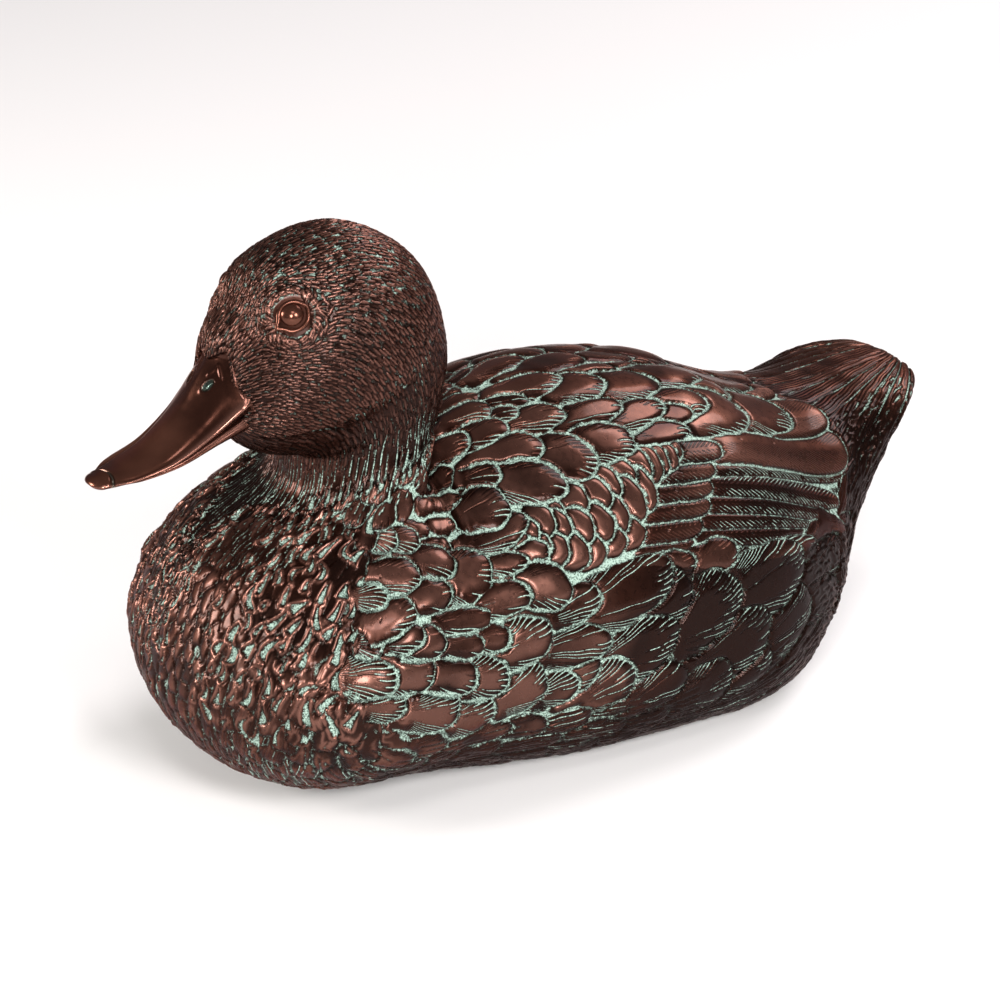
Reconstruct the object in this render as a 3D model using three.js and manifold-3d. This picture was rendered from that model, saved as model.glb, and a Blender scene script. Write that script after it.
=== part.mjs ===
// A mallard hen at rest: a life-size statue cast in bronze and patinated.
//
// The casting is modelled whole, from a run of cross-section frames set along the
// bird from the tail to the face, and is then parted with thin cuts into the pieces
// that a person would name: head, neck, breast, trunk, tail and two wings. The bill
// is an upper and a lower half, and each eye is a ball in a socket.
//
// Millimetres, +Z up. The bill points along -Y and the bird's left side is +X. The
// underside is a true flat on the plane Z = 0, and the origin is below its middle.

import * as THREE from "three";
import { mergeVertices } from "three/addons/utils/BufferGeometryUtils.js";
import Module from "manifold-3d";

const wasm = await Module();
wasm.setup();

// ---- Driving dimensions ---------------------------------------------------------

const CUT = 0.3; // width of the thin cuts, and the gap round every fitted piece
const SIDES = 32; // corners of one body section
const BILL_SIDES = 20; // corners of one bill section
const STEPS = 3; // sections from one body frame to the next
const BILL_STEPS = 2;
const REACH = 600; // size of the blocks that cut the body, well past the whole bird

const EYE_RADIUS = 5;
const EYE_SEAT = [20, -104.4, 175.6]; // centre of the left eyeball

const WING_PROUD = 1.4; // how far a folded wing stands out from the trunk
const WING_THICK = 5; // depth of the wing's shell below the trunk's surface
const WING_INNER = 9; // the wings stop this far from the middle plane
const WING_CORNERS = 32; // corners of the wing's outline

// The main rows of feathers, from the tail up to the shoulders. Each row rises to its
// edge and then steps down to the root of the row behind it, and its edge runs round
// the body in points.
const FEATHER_ROWS = [1.5, 2.15, 2.75, 3.35, 3.9, 4.4, 4.9, 5.35, 5.8, 6.25, 6.7, 7.2, 7.7];
const FEATHER_RISE = 0.8; // how far an edge stands out of the plain form
const FEATHER_SINK = 1.2; // how far a root lies below it
const FEATHER_POINT = 0.11; // reach of a point to each side of its row's station
const FEATHER_LAP = 0.06; // run of the step down behind an edge, in stations

// A frame is one cross-section: it stands on a line from its bottom point to its top
// point in the middle plane, and is a rounded oval about that line. `widest` is the
// height of its widest place, from 0 at the bottom to 1 at the top. A round of 2 is a
// true ellipse, and a larger one is squarer.
function frame(top, bottom, halfWidth, widest = 0.5, roundTop = 2.1, roundBottom = 2.1) {
  return [...top, ...bottom, halfWidth, widest, roundTop, roundBottom];
}

// The body's frames, each with its top and bottom as [y, z]. The lower ones dip below
// the ground plane, where the flat underside is cut afterwards.
const BODY = {
  tailTip: frame([171, 96.5], [170.5, 92], 9, 0.4, 2, 2.2),
  tailEnd: frame([167.5, 97.5], [166, 88], 23, 0.5, 2, 2.2),
  tailFan: frame([152, 97], [151, 75], 35, 0.5, 2, 2.2),
  tailRoot: frame([122, 95], [129, 42], 44, 0.47, 2, 2.2),
  rump: frame([94, 101], [103, 1], 62, 0.43, 2.1, 2.4),
  lowerBack: frame([56, 118], [68, -8], 77, 0.38, 2.1, 3),
  midBack: frame([14, 126.5], [22, -9], 80, 0.38, 2.1, 2.7),
  mantle: frame([-21, 124], [-20, -8], 79, 0.4, 2.1, 2.4),
  shoulder: frame([-42, 117], [-70, -3], 76, 0.42, 2.1, 2),
  lowBreast: frame([-49, 110], [-121, 6], 76, 0.42, 2.1, 1.95),
  breast: frame([-51, 108], [-144, 36], 71, 0.42, 2.1, 2),
  highBreast: frame([-49, 112], [-130, 78], 49, 0.42),
  neck: frame([-44, 120], [-101, 102], 34.5, 0.45),
  throat: frame([-38, 135], [-96, 116], 31),
  nape: frame([-36, 157], [-98, 119], 32),
  backOfHead: frame([-47, 183], [-101, 119], 33),
  crown: frame([-73, 197.5], [-106, 120], 33),
  brow: frame([-102, 192], [-111, 122], 29.5),
  forehead: frame([-116, 175], [-116, 126], 21.5),
  face: frame([-119, 160], [-120, 133], 13.5),
};

// The upper half of the bill, from inside the face to the nail at its tip.
const UPPER_BILL = {
  root: frame([-112, 166], [-106, 144], 17, 0.3, 1.8, 2.4),
  nostrils: frame([-125, 157], [-118, 140], 17.5, 0.28, 1.8, 2.4),
  saddle: frame([-137, 142.5], [-131, 134.5], 15, 0.28, 1.8, 2.4),
  waist: frame([-148, 133.5], [-144, 129.6], 13.5, 0.3, 1.9, 2.4),
  spoon: frame([-159, 129.5], [-157.5, 126.8], 13.5, 0.35, 2, 2.2),
  nail: frame([-166.5, 127.8], [-166, 125.8], 10.5, 0.4, 2, 2.2),
  tip: frame([-171, 126.8], [-171, 125.4], 5, 0.5, 2, 2),
};

// The lower half, a little narrower, so that the upper half's edge overhangs it.
const LOWER_BILL = {
  root: frame([-106, 146], [-102, 132], 14.5, 0.5, 2.2, 2.2),
  chin: frame([-118, 142], [-113, 132], 15, 0.5, 2.2, 2.2),
  saddle: frame([-131, 136], [-128, 129.8], 13.2, 0.5, 2.2, 2.2),
  waist: frame([-144, 131], [-142, 127.4], 12, 0.5, 2.2, 2.2),
  spoon: frame([-157, 128], [-156, 125.4], 11, 0.5, 2.2, 2.2),
  tip: frame([-163, 127], [-162.5, 124.8], 8, 0.5, 2, 2),
};

// The folded wing's outline in side view, as [y, z]: forward end, upper edge, the long
// feathers' ends over the rump, then the lower edge back to the forward end.
const WING = {
  bend: [-33, 89],
  overShoulder: [-12, 110],
  overBack: [36, 115],
  overRump: [84, 102],
  upperTip: [112, 91],
  lowerTip: [113, 66],
  flank: [78, 54],
  side: [28, 58],
  underBend: [-20, 69],
};

// The planes that part the body, each through a top and a bottom point [y, z].
const CUTS = {
  head: [[-38, 135], [-96, 116]],
  neck: [[-47, 117], [-132, 74]],
  breast: [[-44, 115], [-80, -3]],
  tail: [[122, 97], [127, 44]],
};

// ---- Sections and lofts ---------------------------------------------------------

// Catmull-Rom through the frames, with the row carried on in a straight line past
// both ends.
function frameAt(rows, station) {
  const last = rows.length - 1;
  const i = Math.min(Math.floor(station), last - 1);
  const t = station - i;
  const mirrored = (end, next) => end.map((value, k) => 2 * value - next[k]);
  const before = i > 0 ? rows[i - 1] : mirrored(rows[0], rows[1]);
  const after = i + 2 <= last ? rows[i + 2] : mirrored(rows[last], rows[last - 1]);
  return rows[i].map((from, k) => {
    const to = rows[i + 1][k];
    const leave = (to - before[k]) / 2;
    const arrive = (after[k] - from) / 2;
    const cubic = 2 * from - 2 * to + leave + arrive;
    const square = 3 * to - 3 * from - 2 * leave - arrive;
    return ((cubic * t + square) * t + leave) * t + from;
  });
}

// A point of one section. `grow` makes the whole section larger all round.
function sectionPoint(row, angle, grow) {
  const [topY, topZ, bottomY, bottomZ, halfWidth, widest, roundTop, roundBottom] = row;
  const top = new THREE.Vector3(0, topY, topZ);
  const bottom = new THREE.Vector3(0, bottomY, bottomZ);
  const outward = top.clone().sub(bottom).setLength(grow);
  top.add(outward);
  bottom.sub(outward);
  const power = 2 / (Math.sin(angle) > 0 ? roundTop : roundBottom);
  const rounded = (value) => Math.sign(value) * Math.abs(value) ** power;
  const rise = rounded(Math.sin(angle));
  const height = widest + rise * (rise > 0 ? 1 - widest : widest);
  const point = bottom.lerp(top, height);
  point.x = (halfWidth + grow) * rounded(Math.cos(angle));
  return point;
}

// Plain rings, `steps` of them to a station, from one station to another.
function plainRings(first, last, steps) {
  const count = Math.round((last - first) * steps);
  return Array.from({ length: count + 1 }, (_, k) => ({ station: first + k / steps }));
}

// Two rings for each row of feathers: the root of the row behind it, and its own edge.
function featherRings() {
  return FEATHER_ROWS.flatMap((station, row) => [
    { station: station - FEATHER_LAP, raise: -FEATHER_SINK, row },
    { station, raise: FEATHER_RISE, row },
  ]);
}

// A closed skin over the rings, with a flat face at each end.
function loft(frames, sides, rings, grow = 0) {
  const rows = Object.values(frames);
  const sections = rings.length;
  const points = [];
  const faces = [];
  for (const { station, raise = 0, row } of rings) {
    for (let c = 0; c < sides; c++) {
      const angle = (2 * Math.PI * (c + 0.5)) / sides;
      const point = row === undefined ? 0 : FEATHER_POINT * ((c + row) % 2 ? 1 : -1);
      const section = frameAt(rows, station + point);
      points.push(...sectionPoint(section, angle, grow + raise));
    }
  }
  for (let s = 0; s + 1 < sections; s++) {
    for (let c = 0; c < sides; c++) {
      const a = s * sides + c;
      const b = s * sides + ((c + 1) % sides);
      faces.push(a, b, a + sides, b, b + sides, a + sides);
    }
  }
  const far = (sections - 1) * sides;
  for (let c = 1; c + 1 < sides; c++) {
    faces.push(0, c + 1, c);
    faces.push(far, far + c, far + c + 1);
  }
  const geometry = new THREE.BufferGeometry();
  geometry.setAttribute("position", new THREE.Float32BufferAttribute(points, 3));
  geometry.setIndex(faces);
  return geometry;
}

// ---- Solids ---------------------------------------------------------------------

function solid(geometry) {
  const bare = geometry.clone();
  bare.deleteAttribute("normal");
  bare.deleteAttribute("uv");
  const merged = mergeVertices(bare, 1e-4);
  const mesh = new wasm.Mesh({
    numProp: 3,
    vertProperties: new Float32Array(merged.attributes.position.array),
    triVerts: new Uint32Array(merged.index.array),
  });
  return new wasm.Manifold(mesh);
}

function geometryOf(body) {
  const mesh = body.getMesh();
  const geometry = new THREE.BufferGeometry();
  geometry.setAttribute("position", new THREE.BufferAttribute(mesh.vertProperties, 3));
  geometry.setIndex(new THREE.BufferAttribute(mesh.triVerts, 1));
  geometry.computeVertexNormals();
  return geometry;
}

// All the space on the head's side of a cut, starting `start` beyond its plane.
function headwardOf(cut, start) {
  const [[topY, topZ], [bottomY, bottomZ]] = cut;
  const across = new THREE.Vector3(1, 0, 0);
  const up = new THREE.Vector3(0, topY - bottomY, topZ - bottomZ).normalize();
  const ahead = new THREE.Vector3().crossVectors(up, across);
  if (ahead.dot(new THREE.Vector3(0, -1, 0.5)) < 0) {
    ahead.negate();
  }
  const block = new THREE.BoxGeometry(REACH, REACH, REACH);
  const side = new THREE.Vector3().crossVectors(up, ahead);
  const turn = new THREE.Matrix4().makeBasis(side, up, ahead);
  const centre = new THREE.Vector3(0, bottomY, bottomZ);
  centre.addScaledVector(ahead, start + REACH / 2);
  return solid(block.applyMatrix4(turn.setPosition(centre)));
}

// The part of a body between two cuts: behind `front` and ahead of `rear`.
function between(body, rear, front) {
  let piece = body;
  if (rear) {
    piece = piece.intersect(headwardOf(rear, CUT / 2));
  }
  if (front) {
    piece = piece.subtract(headwardOf(front, -CUT / 2));
  }
  return piece;
}

// ---- The casting, whole ---------------------------------------------------------

const aboveGround = new THREE.BoxGeometry(REACH, REACH, REACH);
aboveGround.translate(0, 0, REACH / 2);
const face = Object.keys(BODY).length - 1;
const featheredRings = [
  ...plainRings(0, 1, STEPS),
  ...featherRings(),
  ...plainRings(8, face, STEPS),
];
const whole = solid(loft(BODY, SIDES, featheredRings)).intersect(solid(aboveGround));

// ---- Bill -----------------------------------------------------------------------

function billHalf(frames, grow = 0) {
  const tip = Object.keys(frames).length - 1;
  return solid(loft(frames, BILL_SIDES, plainRings(0, tip, BILL_STEPS), grow));
}

const upperBill = billHalf(UPPER_BILL);
const upperBillRoom = billHalf(UPPER_BILL, CUT);
const lowerBill = billHalf(LOWER_BILL).subtract(upperBillRoom);
const lowerBillRoom = billHalf(LOWER_BILL, CUT);

// ---- Eyes -----------------------------------------------------------------------

function eyeball(side, radius) {
  const [x, y, z] = EYE_SEAT;
  return solid(new THREE.SphereGeometry(radius, 16, 10).translate(side * x, y, z));
}

// ---- Wings ----------------------------------------------------------------------

// A slab of the wing's outline that runs outwards from beside the backbone. A larger
// `room` makes the outline wider all round.
function wingSlab(side, room) {
  const corners = Object.values(WING).map(([y, z]) => new THREE.Vector3(y, z, 0));
  const middle = new THREE.Vector3();
  corners.forEach((corner) => middle.addScaledVector(corner, 1 / corners.length));
  corners.forEach((corner) => {
    const out = corner.clone().sub(middle);
    corner.add(out.setLength(room * 1.5));
  });
  const curve = new THREE.CatmullRomCurve3(corners, true);
  const points = curve.getPoints(WING_CORNERS).slice(0, -1);
  const shape = new THREE.Shape(points.map(({ x, y }) => new THREE.Vector2(x, y)));
  const slab = new THREE.ExtrudeGeometry(shape, { depth: REACH, bevelEnabled: false });
  const alongX = new THREE.Vector3(1, 0, 0);
  const alongY = new THREE.Vector3(0, 1, 0);
  const alongZ = new THREE.Vector3(0, 0, 1);
  slab.applyMatrix4(new THREE.Matrix4().makeBasis(alongY, alongZ, alongX));
  const inner = WING_INNER - room;
  slab.translate(side > 0 ? inner : -inner - REACH, 0, 0);
  return solid(slab);
}

const wingRings = plainRings(0, face, STEPS);
const wingFloor = solid(loft(BODY, SIDES, wingRings, -WING_THICK));
const wingRoom = solid(loft(BODY, SIDES, wingRings, -WING_THICK - CUT));
const wingSkin = solid(loft(BODY, SIDES, wingRings, WING_PROUD));

function wing(side) {
  return wingSkin.intersect(wingSlab(side, 0)).subtract(wingFloor);
}

function wingBed(side) {
  return wingSlab(side, CUT).subtract(wingRoom);
}

// ---- Pieces ---------------------------------------------------------------------

const bedded = whole.subtract(wingBed(1)).subtract(wingBed(-1));
const pieces = {
  head: between(whole, CUTS.head, null)
    .subtract(upperBillRoom)
    .subtract(lowerBillRoom)
    .subtract(eyeball(1, EYE_RADIUS + CUT))
    .subtract(eyeball(-1, EYE_RADIUS + CUT)),
  neck: between(whole, CUTS.neck, CUTS.head),
  breast: between(bedded, CUTS.breast, CUTS.neck),
  trunk: between(bedded, CUTS.tail, CUTS.breast),
  tail: between(whole, null, CUTS.tail),
  wing_left: wing(1),
  wing_right: wing(-1),
  bill_upper: upperBill,
  bill_lower: lowerBill,
  eye_left: eyeball(1, EYE_RADIUS),
  eye_right: eyeball(-1, EYE_RADIUS),
};

// ---- Bronze, browned on the high places -----------------------------------------

const finishes = {
  plumage: { color: 0x5a3a2e, roughness: 0.42, metalness: 0.9 },
  wings: { color: 0x64443a, roughness: 0.4, metalness: 0.9 },
  bill: { color: 0x6b4030, roughness: 0.25, metalness: 1 },
  eyes: { color: 0x7a4a34, roughness: 0.15, metalness: 1 },
};

function finishOf(name) {
  if (name.startsWith("eye")) {
    return finishes.eyes;
  }
  if (name.startsWith("bill")) {
    return finishes.bill;
  }
  return name.startsWith("wing") ? finishes.wings : finishes.plumage;
}

const duck = new THREE.Group();
duck.name = "mallard_hen_statue";
for (const [name, piece] of Object.entries(pieces)) {
  const material = new THREE.MeshStandardMaterial(finishOf(name));
  const mesh = new THREE.Mesh(geometryOf(piece), material);
  mesh.name = name;
  duck.add(mesh);
}

export default duck;
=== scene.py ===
import math
import bpy
import numpy as np
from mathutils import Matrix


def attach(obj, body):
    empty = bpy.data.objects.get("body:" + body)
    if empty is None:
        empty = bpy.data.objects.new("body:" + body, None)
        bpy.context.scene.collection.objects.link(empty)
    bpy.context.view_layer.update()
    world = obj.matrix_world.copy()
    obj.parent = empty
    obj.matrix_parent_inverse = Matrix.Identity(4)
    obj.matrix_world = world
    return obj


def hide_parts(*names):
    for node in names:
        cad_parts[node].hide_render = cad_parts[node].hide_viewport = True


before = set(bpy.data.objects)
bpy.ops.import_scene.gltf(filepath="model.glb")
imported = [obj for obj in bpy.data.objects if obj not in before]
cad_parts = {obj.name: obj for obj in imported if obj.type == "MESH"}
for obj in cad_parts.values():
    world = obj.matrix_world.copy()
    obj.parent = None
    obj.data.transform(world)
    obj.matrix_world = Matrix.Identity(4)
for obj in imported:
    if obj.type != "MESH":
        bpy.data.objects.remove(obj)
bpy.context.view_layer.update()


# THE FORM. The duck is a hollow bronze cast. These are the cross-sections of the clay under
# its feathers, from the tip of the tail to the face, in millimetres: the top and the bottom
# of each as [y, z], its half width, where it is widest, and how square its corners are.
def cut_through(top, bottom, half_width, widest=0.5, round_top=2.1, round_bottom=2.1):
    return [*top, *bottom, half_width, widest, round_top, round_bottom]


FORM = np.array([
    cut_through([171, 96.5], [170.5, 92], 9, 0.4, 2, 2.2),          # tip of the tail
    cut_through([167.5, 97.5], [166, 88], 23, 0.5, 2, 2.2),         # end of the tail
    cut_through([152, 97], [151, 75], 35, 0.5, 2, 2.2),             # tail fan
    cut_through([122, 95], [129, 42], 44, 0.47, 2, 2.2),            # root of the tail
    cut_through([94, 101], [103, 1], 62, 0.43, 2.1, 2.4),           # rump
    cut_through([56, 118], [68, -8], 77, 0.38, 2.1, 3),             # lower back
    cut_through([14, 126.5], [22, -9], 80, 0.38, 2.1, 2.7),         # middle of the back
    cut_through([-21, 124], [-20, -8], 79, 0.4, 2.1, 2.4),          # mantle
    cut_through([-42, 117], [-70, -3], 76, 0.42, 2.1, 2),           # shoulder
    cut_through([-49, 110], [-121, 6], 76, 0.42, 2.1, 1.95),        # low breast
    cut_through([-51, 108], [-144, 36], 71, 0.42, 2.1, 2),          # breast
    cut_through([-49, 112], [-130, 78], 49, 0.42),                  # high breast
    cut_through([-44, 120], [-101, 102], 34.5, 0.45),               # neck
    cut_through([-38, 135], [-96, 116], 31),                        # throat
    cut_through([-36, 157], [-98, 119], 32),                        # nape
    cut_through([-47, 183], [-101, 119], 33),                       # back of the head
    cut_through([-73, 197.5], [-106, 120], 33),                     # crown
    cut_through([-102, 192], [-111, 122], 29.5),                    # brow
    cut_through([-116, 175], [-116, 126], 21.5),                    # forehead
    cut_through([-119, 160], [-120, 133], 13.5),                    # face
])
SKIN_DEPTH = 1.6          # the ground that feathers rise from lies this far inside the form
HALF_COLUMNS = 344        # from the middle of the belly to the backbone
BODY_ROW, HEAD_ROW = 0.74, 0.46      # space between rows of the skin
NECK_STATION = 12.3


def form_at(stations, table=FORM):
    """The cross-section at each station, on a smooth curve through those of the table."""
    ends = np.vstack([2 * table[0] - table[1], table, 2 * table[-1] - table[-2]])
    stations = np.clip(np.asarray(stations, float), 0, len(table) - 1 - 1e-9)
    whole = stations.astype(int)
    part = (stations - whole)[:, None]
    before, here, there, after = (ends[whole + k] for k in range(4))
    leave, arrive = (there - before) / 2, (after - here) / 2
    return ((2 * here - 2 * there + leave + arrive) * part ** 3
            + (3 * there - 3 * here - 2 * leave - arrive) * part ** 2 + leave * part + here)


def drawn_sections(rows, angle, inset=0.0):
    """Half of each cross-section, at the given angles from its bottom up to its top."""
    top, bottom, half_width = rows[:, 0:2], rows[:, 2:4], rows[:, 4:5] - inset
    upward = (top - bottom) / np.linalg.norm(top - bottom, axis=1, keepdims=True)
    top, bottom = top - upward * inset, bottom + upward * inset
    cosine, sine = np.cos(angle), np.sin(angle)
    power = 2 / np.where(sine > 0, rows[:, 6:7], rows[:, 7:8])
    rise = np.sign(sine) * np.abs(sine) ** power
    x = half_width * np.abs(cosine) ** power
    widest = rows[:, 5:6]
    height = widest + rise * np.where(rise > 0, 1 - widest, widest)
    yz = bottom[:, None] + (top - bottom)[:, None] * height[..., None]
    points = np.concatenate([x[..., None], yz], -1)
    points[:, [0, -1], 0] = 0
    return points


def half_sections(stations, columns):
    """The left half of each cross-section, from the middle of the belly to the backbone."""
    rows = form_at(stations)
    points = drawn_sections(rows, np.linspace(-np.pi / 2, np.pi / 2, 721), SKIN_DEPTH)
    z = points[..., 2]
    points[..., 2] = (z + np.sqrt(z * z + 2.2)) / 2      # a flat base with a soft edge
    steps = np.linalg.norm(np.diff(points, axis=1), axis=-1)
    low = (points[:, 1:, 2] + points[:, :-1, 2]) / 2
    steps *= 0.1 + 0.9 * np.clip(low / 15, 0, 1) ** 2 * (3 - 2 * np.clip(low / 15, 0, 1))
    along = np.concatenate([np.zeros((len(rows), 1)), np.cumsum(steps, 1)], 1)
    half = np.empty((len(rows), columns + 1, 3))
    for k in range(len(rows)):
        wanted = np.linspace(0, along[k, -1], columns + 1)
        for axis in range(3):
            half[k, :, axis] = np.interp(wanted, along[k], points[k, :, axis])
    return half


def skin_stations():
    """Stations so spaced that no two rows are further apart than BODY_ROW or HEAD_ROW."""
    coarse = np.linspace(0, len(FORM) - 1, 1400)
    gaps = np.linalg.norm(np.diff(half_sections(coarse, 60), axis=0), axis=-1).max(1)
    middle = (coarse[1:] + coarse[:-1]) / 2
    row = np.interp(middle, [NECK_STATION - 1.2, NECK_STATION + 1], [BODY_ROW, HEAD_ROW])
    count = np.concatenate([[0], np.cumsum(gaps / row)])
    return np.interp(np.linspace(0, count[-1], int(count[-1]) + 1), count, coarse)


station = skin_stations()
half = half_sections(station, HALF_COLUMNS)


def closing_rows(edge, reach, count=9):
    """Rows that draw an open end together to a rounded point, reach mm beyond its edge."""
    middle = edge.mean(0) * [0, 1, 1]
    turn = np.linspace(0, np.pi / 2, count + 1)[1:, None, None]
    return middle + (edge - middle) * (np.cos(turn) + 1e-4) + np.array(reach) * np.sin(turn)


half = np.concatenate([closing_rows(half[0], [0, 1.2, 0])[::-1], half,
                       closing_rows(half[-1], [0, -3.5, 0], 14)])
station = np.concatenate([np.full(9, station[0]), station, np.full(14, station[-1])])
skin = np.concatenate([half, (half * [-1, 1, 1])[:, -2:0:-1]], 1)
ROWS, RING = skin.shape[:2]
BACKBONE = HALF_COLUMNS


def unit(vectors):
    return vectors / (np.linalg.norm(vectors, axis=-1, keepdims=True) + 1e-9)


def ease(value, start, end):
    """0 at start and 1 at end, with a soft turn at both."""
    share = np.clip((value - start) / (end - start), 0, 1)
    return share * share * (3 - 2 * share)


def blurred(field, reach_rows, reach_columns):
    """Three passes of a running mean, round the ring and along it."""
    for _ in range(3):
        for axis, reach in ((0, reach_rows), (1, reach_columns)):
            if reach:
                pad = [(0, 0)] * field.ndim
                pad[axis] = (reach + 1, reach)
                total = np.cumsum(np.pad(field, pad, mode="wrap" if axis else "edge"), axis)
                last = np.take(total, np.arange(2 * reach + 1, total.shape[axis]), axis)
                first = np.take(total, np.arange(total.shape[axis] - 2 * reach - 1), axis)
                field = (last - first) / (2 * reach + 1)
    return field


def steps_of(points):
    """The step from each point to the next, towards the head and round the ring."""
    return np.gradient(points, axis=0), (np.roll(points, -1, 1) - np.roll(points, 1, 1)) / 2


# The sharp cleft where the back of the neck meets the shoulders is filled to a soft hollow.
DEEPEST_FILL = 7          # mm
headward, sideward = steps_of(skin)
bare_out = unit(blurred(np.cross(sideward, headward), 4, 4))
fill = np.clip(((blurred(skin, 26, 20) - skin) * bare_out).sum(-1), 0, DEEPEST_FILL)
share_of_ring = 1 - np.abs(np.arange(RING) - BACKBONE) / BACKBONE
at_nape = ease(station, 9.6, 10.6) * ease(station, 13.6, 12.8)
fill *= at_nape[:, None] * ease(share_of_ring, 0.45, 0.6)
skin = skin + bare_out * blurred(fill, 4, 4)[..., None]
headward, sideward = steps_of(skin)
outward = unit(blurred(np.cross(sideward, headward), 2, 2))
size_of_cell = np.linalg.norm(np.cross(sideward, headward), axis=-1)
row_walk = np.cumsum(np.linalg.norm(headward, axis=-1), 0)
column_walk = np.cumsum(np.linalg.norm(sideward, axis=-1), 1)
X, Y, Z = (part.copy() for part in np.moveaxis(skin, -1, 0))
beside = np.stack([np.abs(X), Y, Z], -1)             # each point brought to the left side
stations_here = np.broadcast_to(station[:, None], (ROWS, RING))
share_up = np.broadcast_to(share_of_ring, (ROWS, RING))     # 0 at the belly, 1 at the backbone


# THE LIE OF THE PLUMAGE. Feathers grow back from the bill, down the neck, and sweep round
# the breast and along the sides to the tail. Each later tract is laid over the tips of the
# one behind it, so the tail is modelled first and the head last.
NECK_FOOT = np.array([0.0, -68.0, 118.0])
EYE = np.array([22.0, -105.5, 176.5])
EYE_RING, EYE_SWAY = 8.5, 30          # feathers bend round the eye from one to the other, in mm

along_form = unit(-headward)
from_neck = unit((skin - NECK_FOOT) * [0, 1, 1])
to_side = ease(Y + 0.6 * np.clip(60 - Z, 0, None), -138, -48)[..., None]
climb = 0.10 + 0.27 * ease(Y, 0, 80) + 0.12 * ease(Z, 85, 110) * ease(Y, 20, -30)
backward = np.stack([np.zeros_like(climb), np.ones_like(climb), climb], -1)
sweep = from_neck * (1 - to_side) + backward * to_side
on_neck = ease(stations_here, 10.6, 11.9)[..., None]
on_tail = ease(stations_here, 4.9, 3.7)[..., None]
lie = sweep * (1 - np.maximum(on_neck, on_tail)) + along_form * np.maximum(on_neck, on_tail)
on_cheek = ease(stations_here, 14.4, 15.2) * ease(Z, 182, 166) * ease(Y, -121, -108)
lie = lie + on_cheek[..., None] * np.array([0, 0, -0.5])
for side in (1, -1):
    from_eye = skin - EYE * [side, 1, 1]
    away = np.linalg.norm(from_eye, axis=-1, keepdims=True)
    ring_push = np.clip((EYE_RING / np.maximum(away, 6)) ** 2, 0, 1) * (away < EYE_SWAY)
    radial = (lie * from_eye).sum(-1, keepdims=True) / away ** 2 * from_eye
    lie = lie - radial * 2 * ring_push
lie = unit(lie - (lie * outward).sum(-1, keepdims=True) * outward)

relief = np.zeros((ROWS, RING))      # how far each point stands above the ground, in mm
verdigris = np.zeros((ROWS, RING))   # green left in the hollows, 0 to 1
barb_run = np.zeros((ROWS, RING))    # counts the barbs across a feather
barb_cut = np.zeros((ROWS, RING))    # how deep the barbs are cut, 0 to 1
WIDE_PITCH = 1.35                    # barbs wider apart than this, in mm, are cut into the clay
chance = np.random.default_rng(57)


def patch(i, j, reach):
    """The rows and columns within reach of a point of the skin, in mm."""
    near_i = np.searchsorted(row_walk[:, j], [row_walk[i, j] - reach, row_walk[i, j] + reach])
    step = max(np.linalg.norm(sideward[i, j]), 0.12)
    near_j = int(reach / step) + 2
    i0, i1 = max(near_i[0] - 1, 0), min(near_i[1] + 2, ROWS)
    near_j = min(near_j, BACKBONE - 1)
    if j - near_j >= 0 and j + near_j < RING:
        return slice(i0, i1), slice(j - near_j, j + near_j + 1)
    return np.ix_(np.arange(i0, i1), np.arange(j - near_j, j + near_j + 1) % RING)


def swung(along, across, turn):
    """Two directions turned together in the face of the skin."""
    return (along * math.cos(turn) + across * math.sin(turn),
            across * math.cos(turn) - along * math.sin(turn))


def barbs_of(barbs, cut, upper, few, a, b, t, depth, half_width):
    """The barbs of a feather: a count that goes up by one at each, and how deep each is cut.

    barbs holds their kind, their pitch in mm and their reach. a and b run along and across
    the feather in mm, t from its root to its tip, and depth inwards from its edge.
    """
    kind, pitch, reach = barbs
    if kind == "leaf":
        run = (a - reach * np.abs(b) - 0.02 * b * b) / pitch
    elif kind == "fan":
        run = b / (0.1 + np.clip(t, 0.15, 1.2)) / pitch
    else:
        run = b / pitch
    run = run + 0.12 * np.sin(a * 0.6 + chance.uniform(0, 6.3)) + chance.uniform(0, 1)
    pick = np.sin(np.round(run) * 12.9898 + chance.uniform(0, 6.3)) * 43758.5453
    pick = pick - np.floor(pick)          # a number from 0 to 1 for each barb
    if kind == "leaf":
        deep = cut * ease(np.abs(b) / half_width, 0.02, 0.45) * ease(t, 0.05, 0.3)
    elif kind == "fan":
        bunch = 0.5 + 0.5 * np.sin(0.8 * np.round(run) + chance.uniform(0, 6.3))
        start = reach * (0.25 + 0.9 * pick * (0.35 + 0.65 * bunch))
        deep = cut * ease(depth, start, 0.7 * start) * ease(t, 0.15, 0.4)
        deep = deep * ease(pick + 0.5 * bunch, 0.45 - few, 0.7 - few)
        deep = deep * np.where(b < 0, 1.0, upper)
    else:
        deep = cut * (0.32 + 0.68 * ease(pick, 0.35, 0.85)) * ease(t, 0.0, 0.12) \
            * ease(t, 1.05, 0.8)
    return run, deep * ease(depth, 0.02, 0.3)


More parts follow.
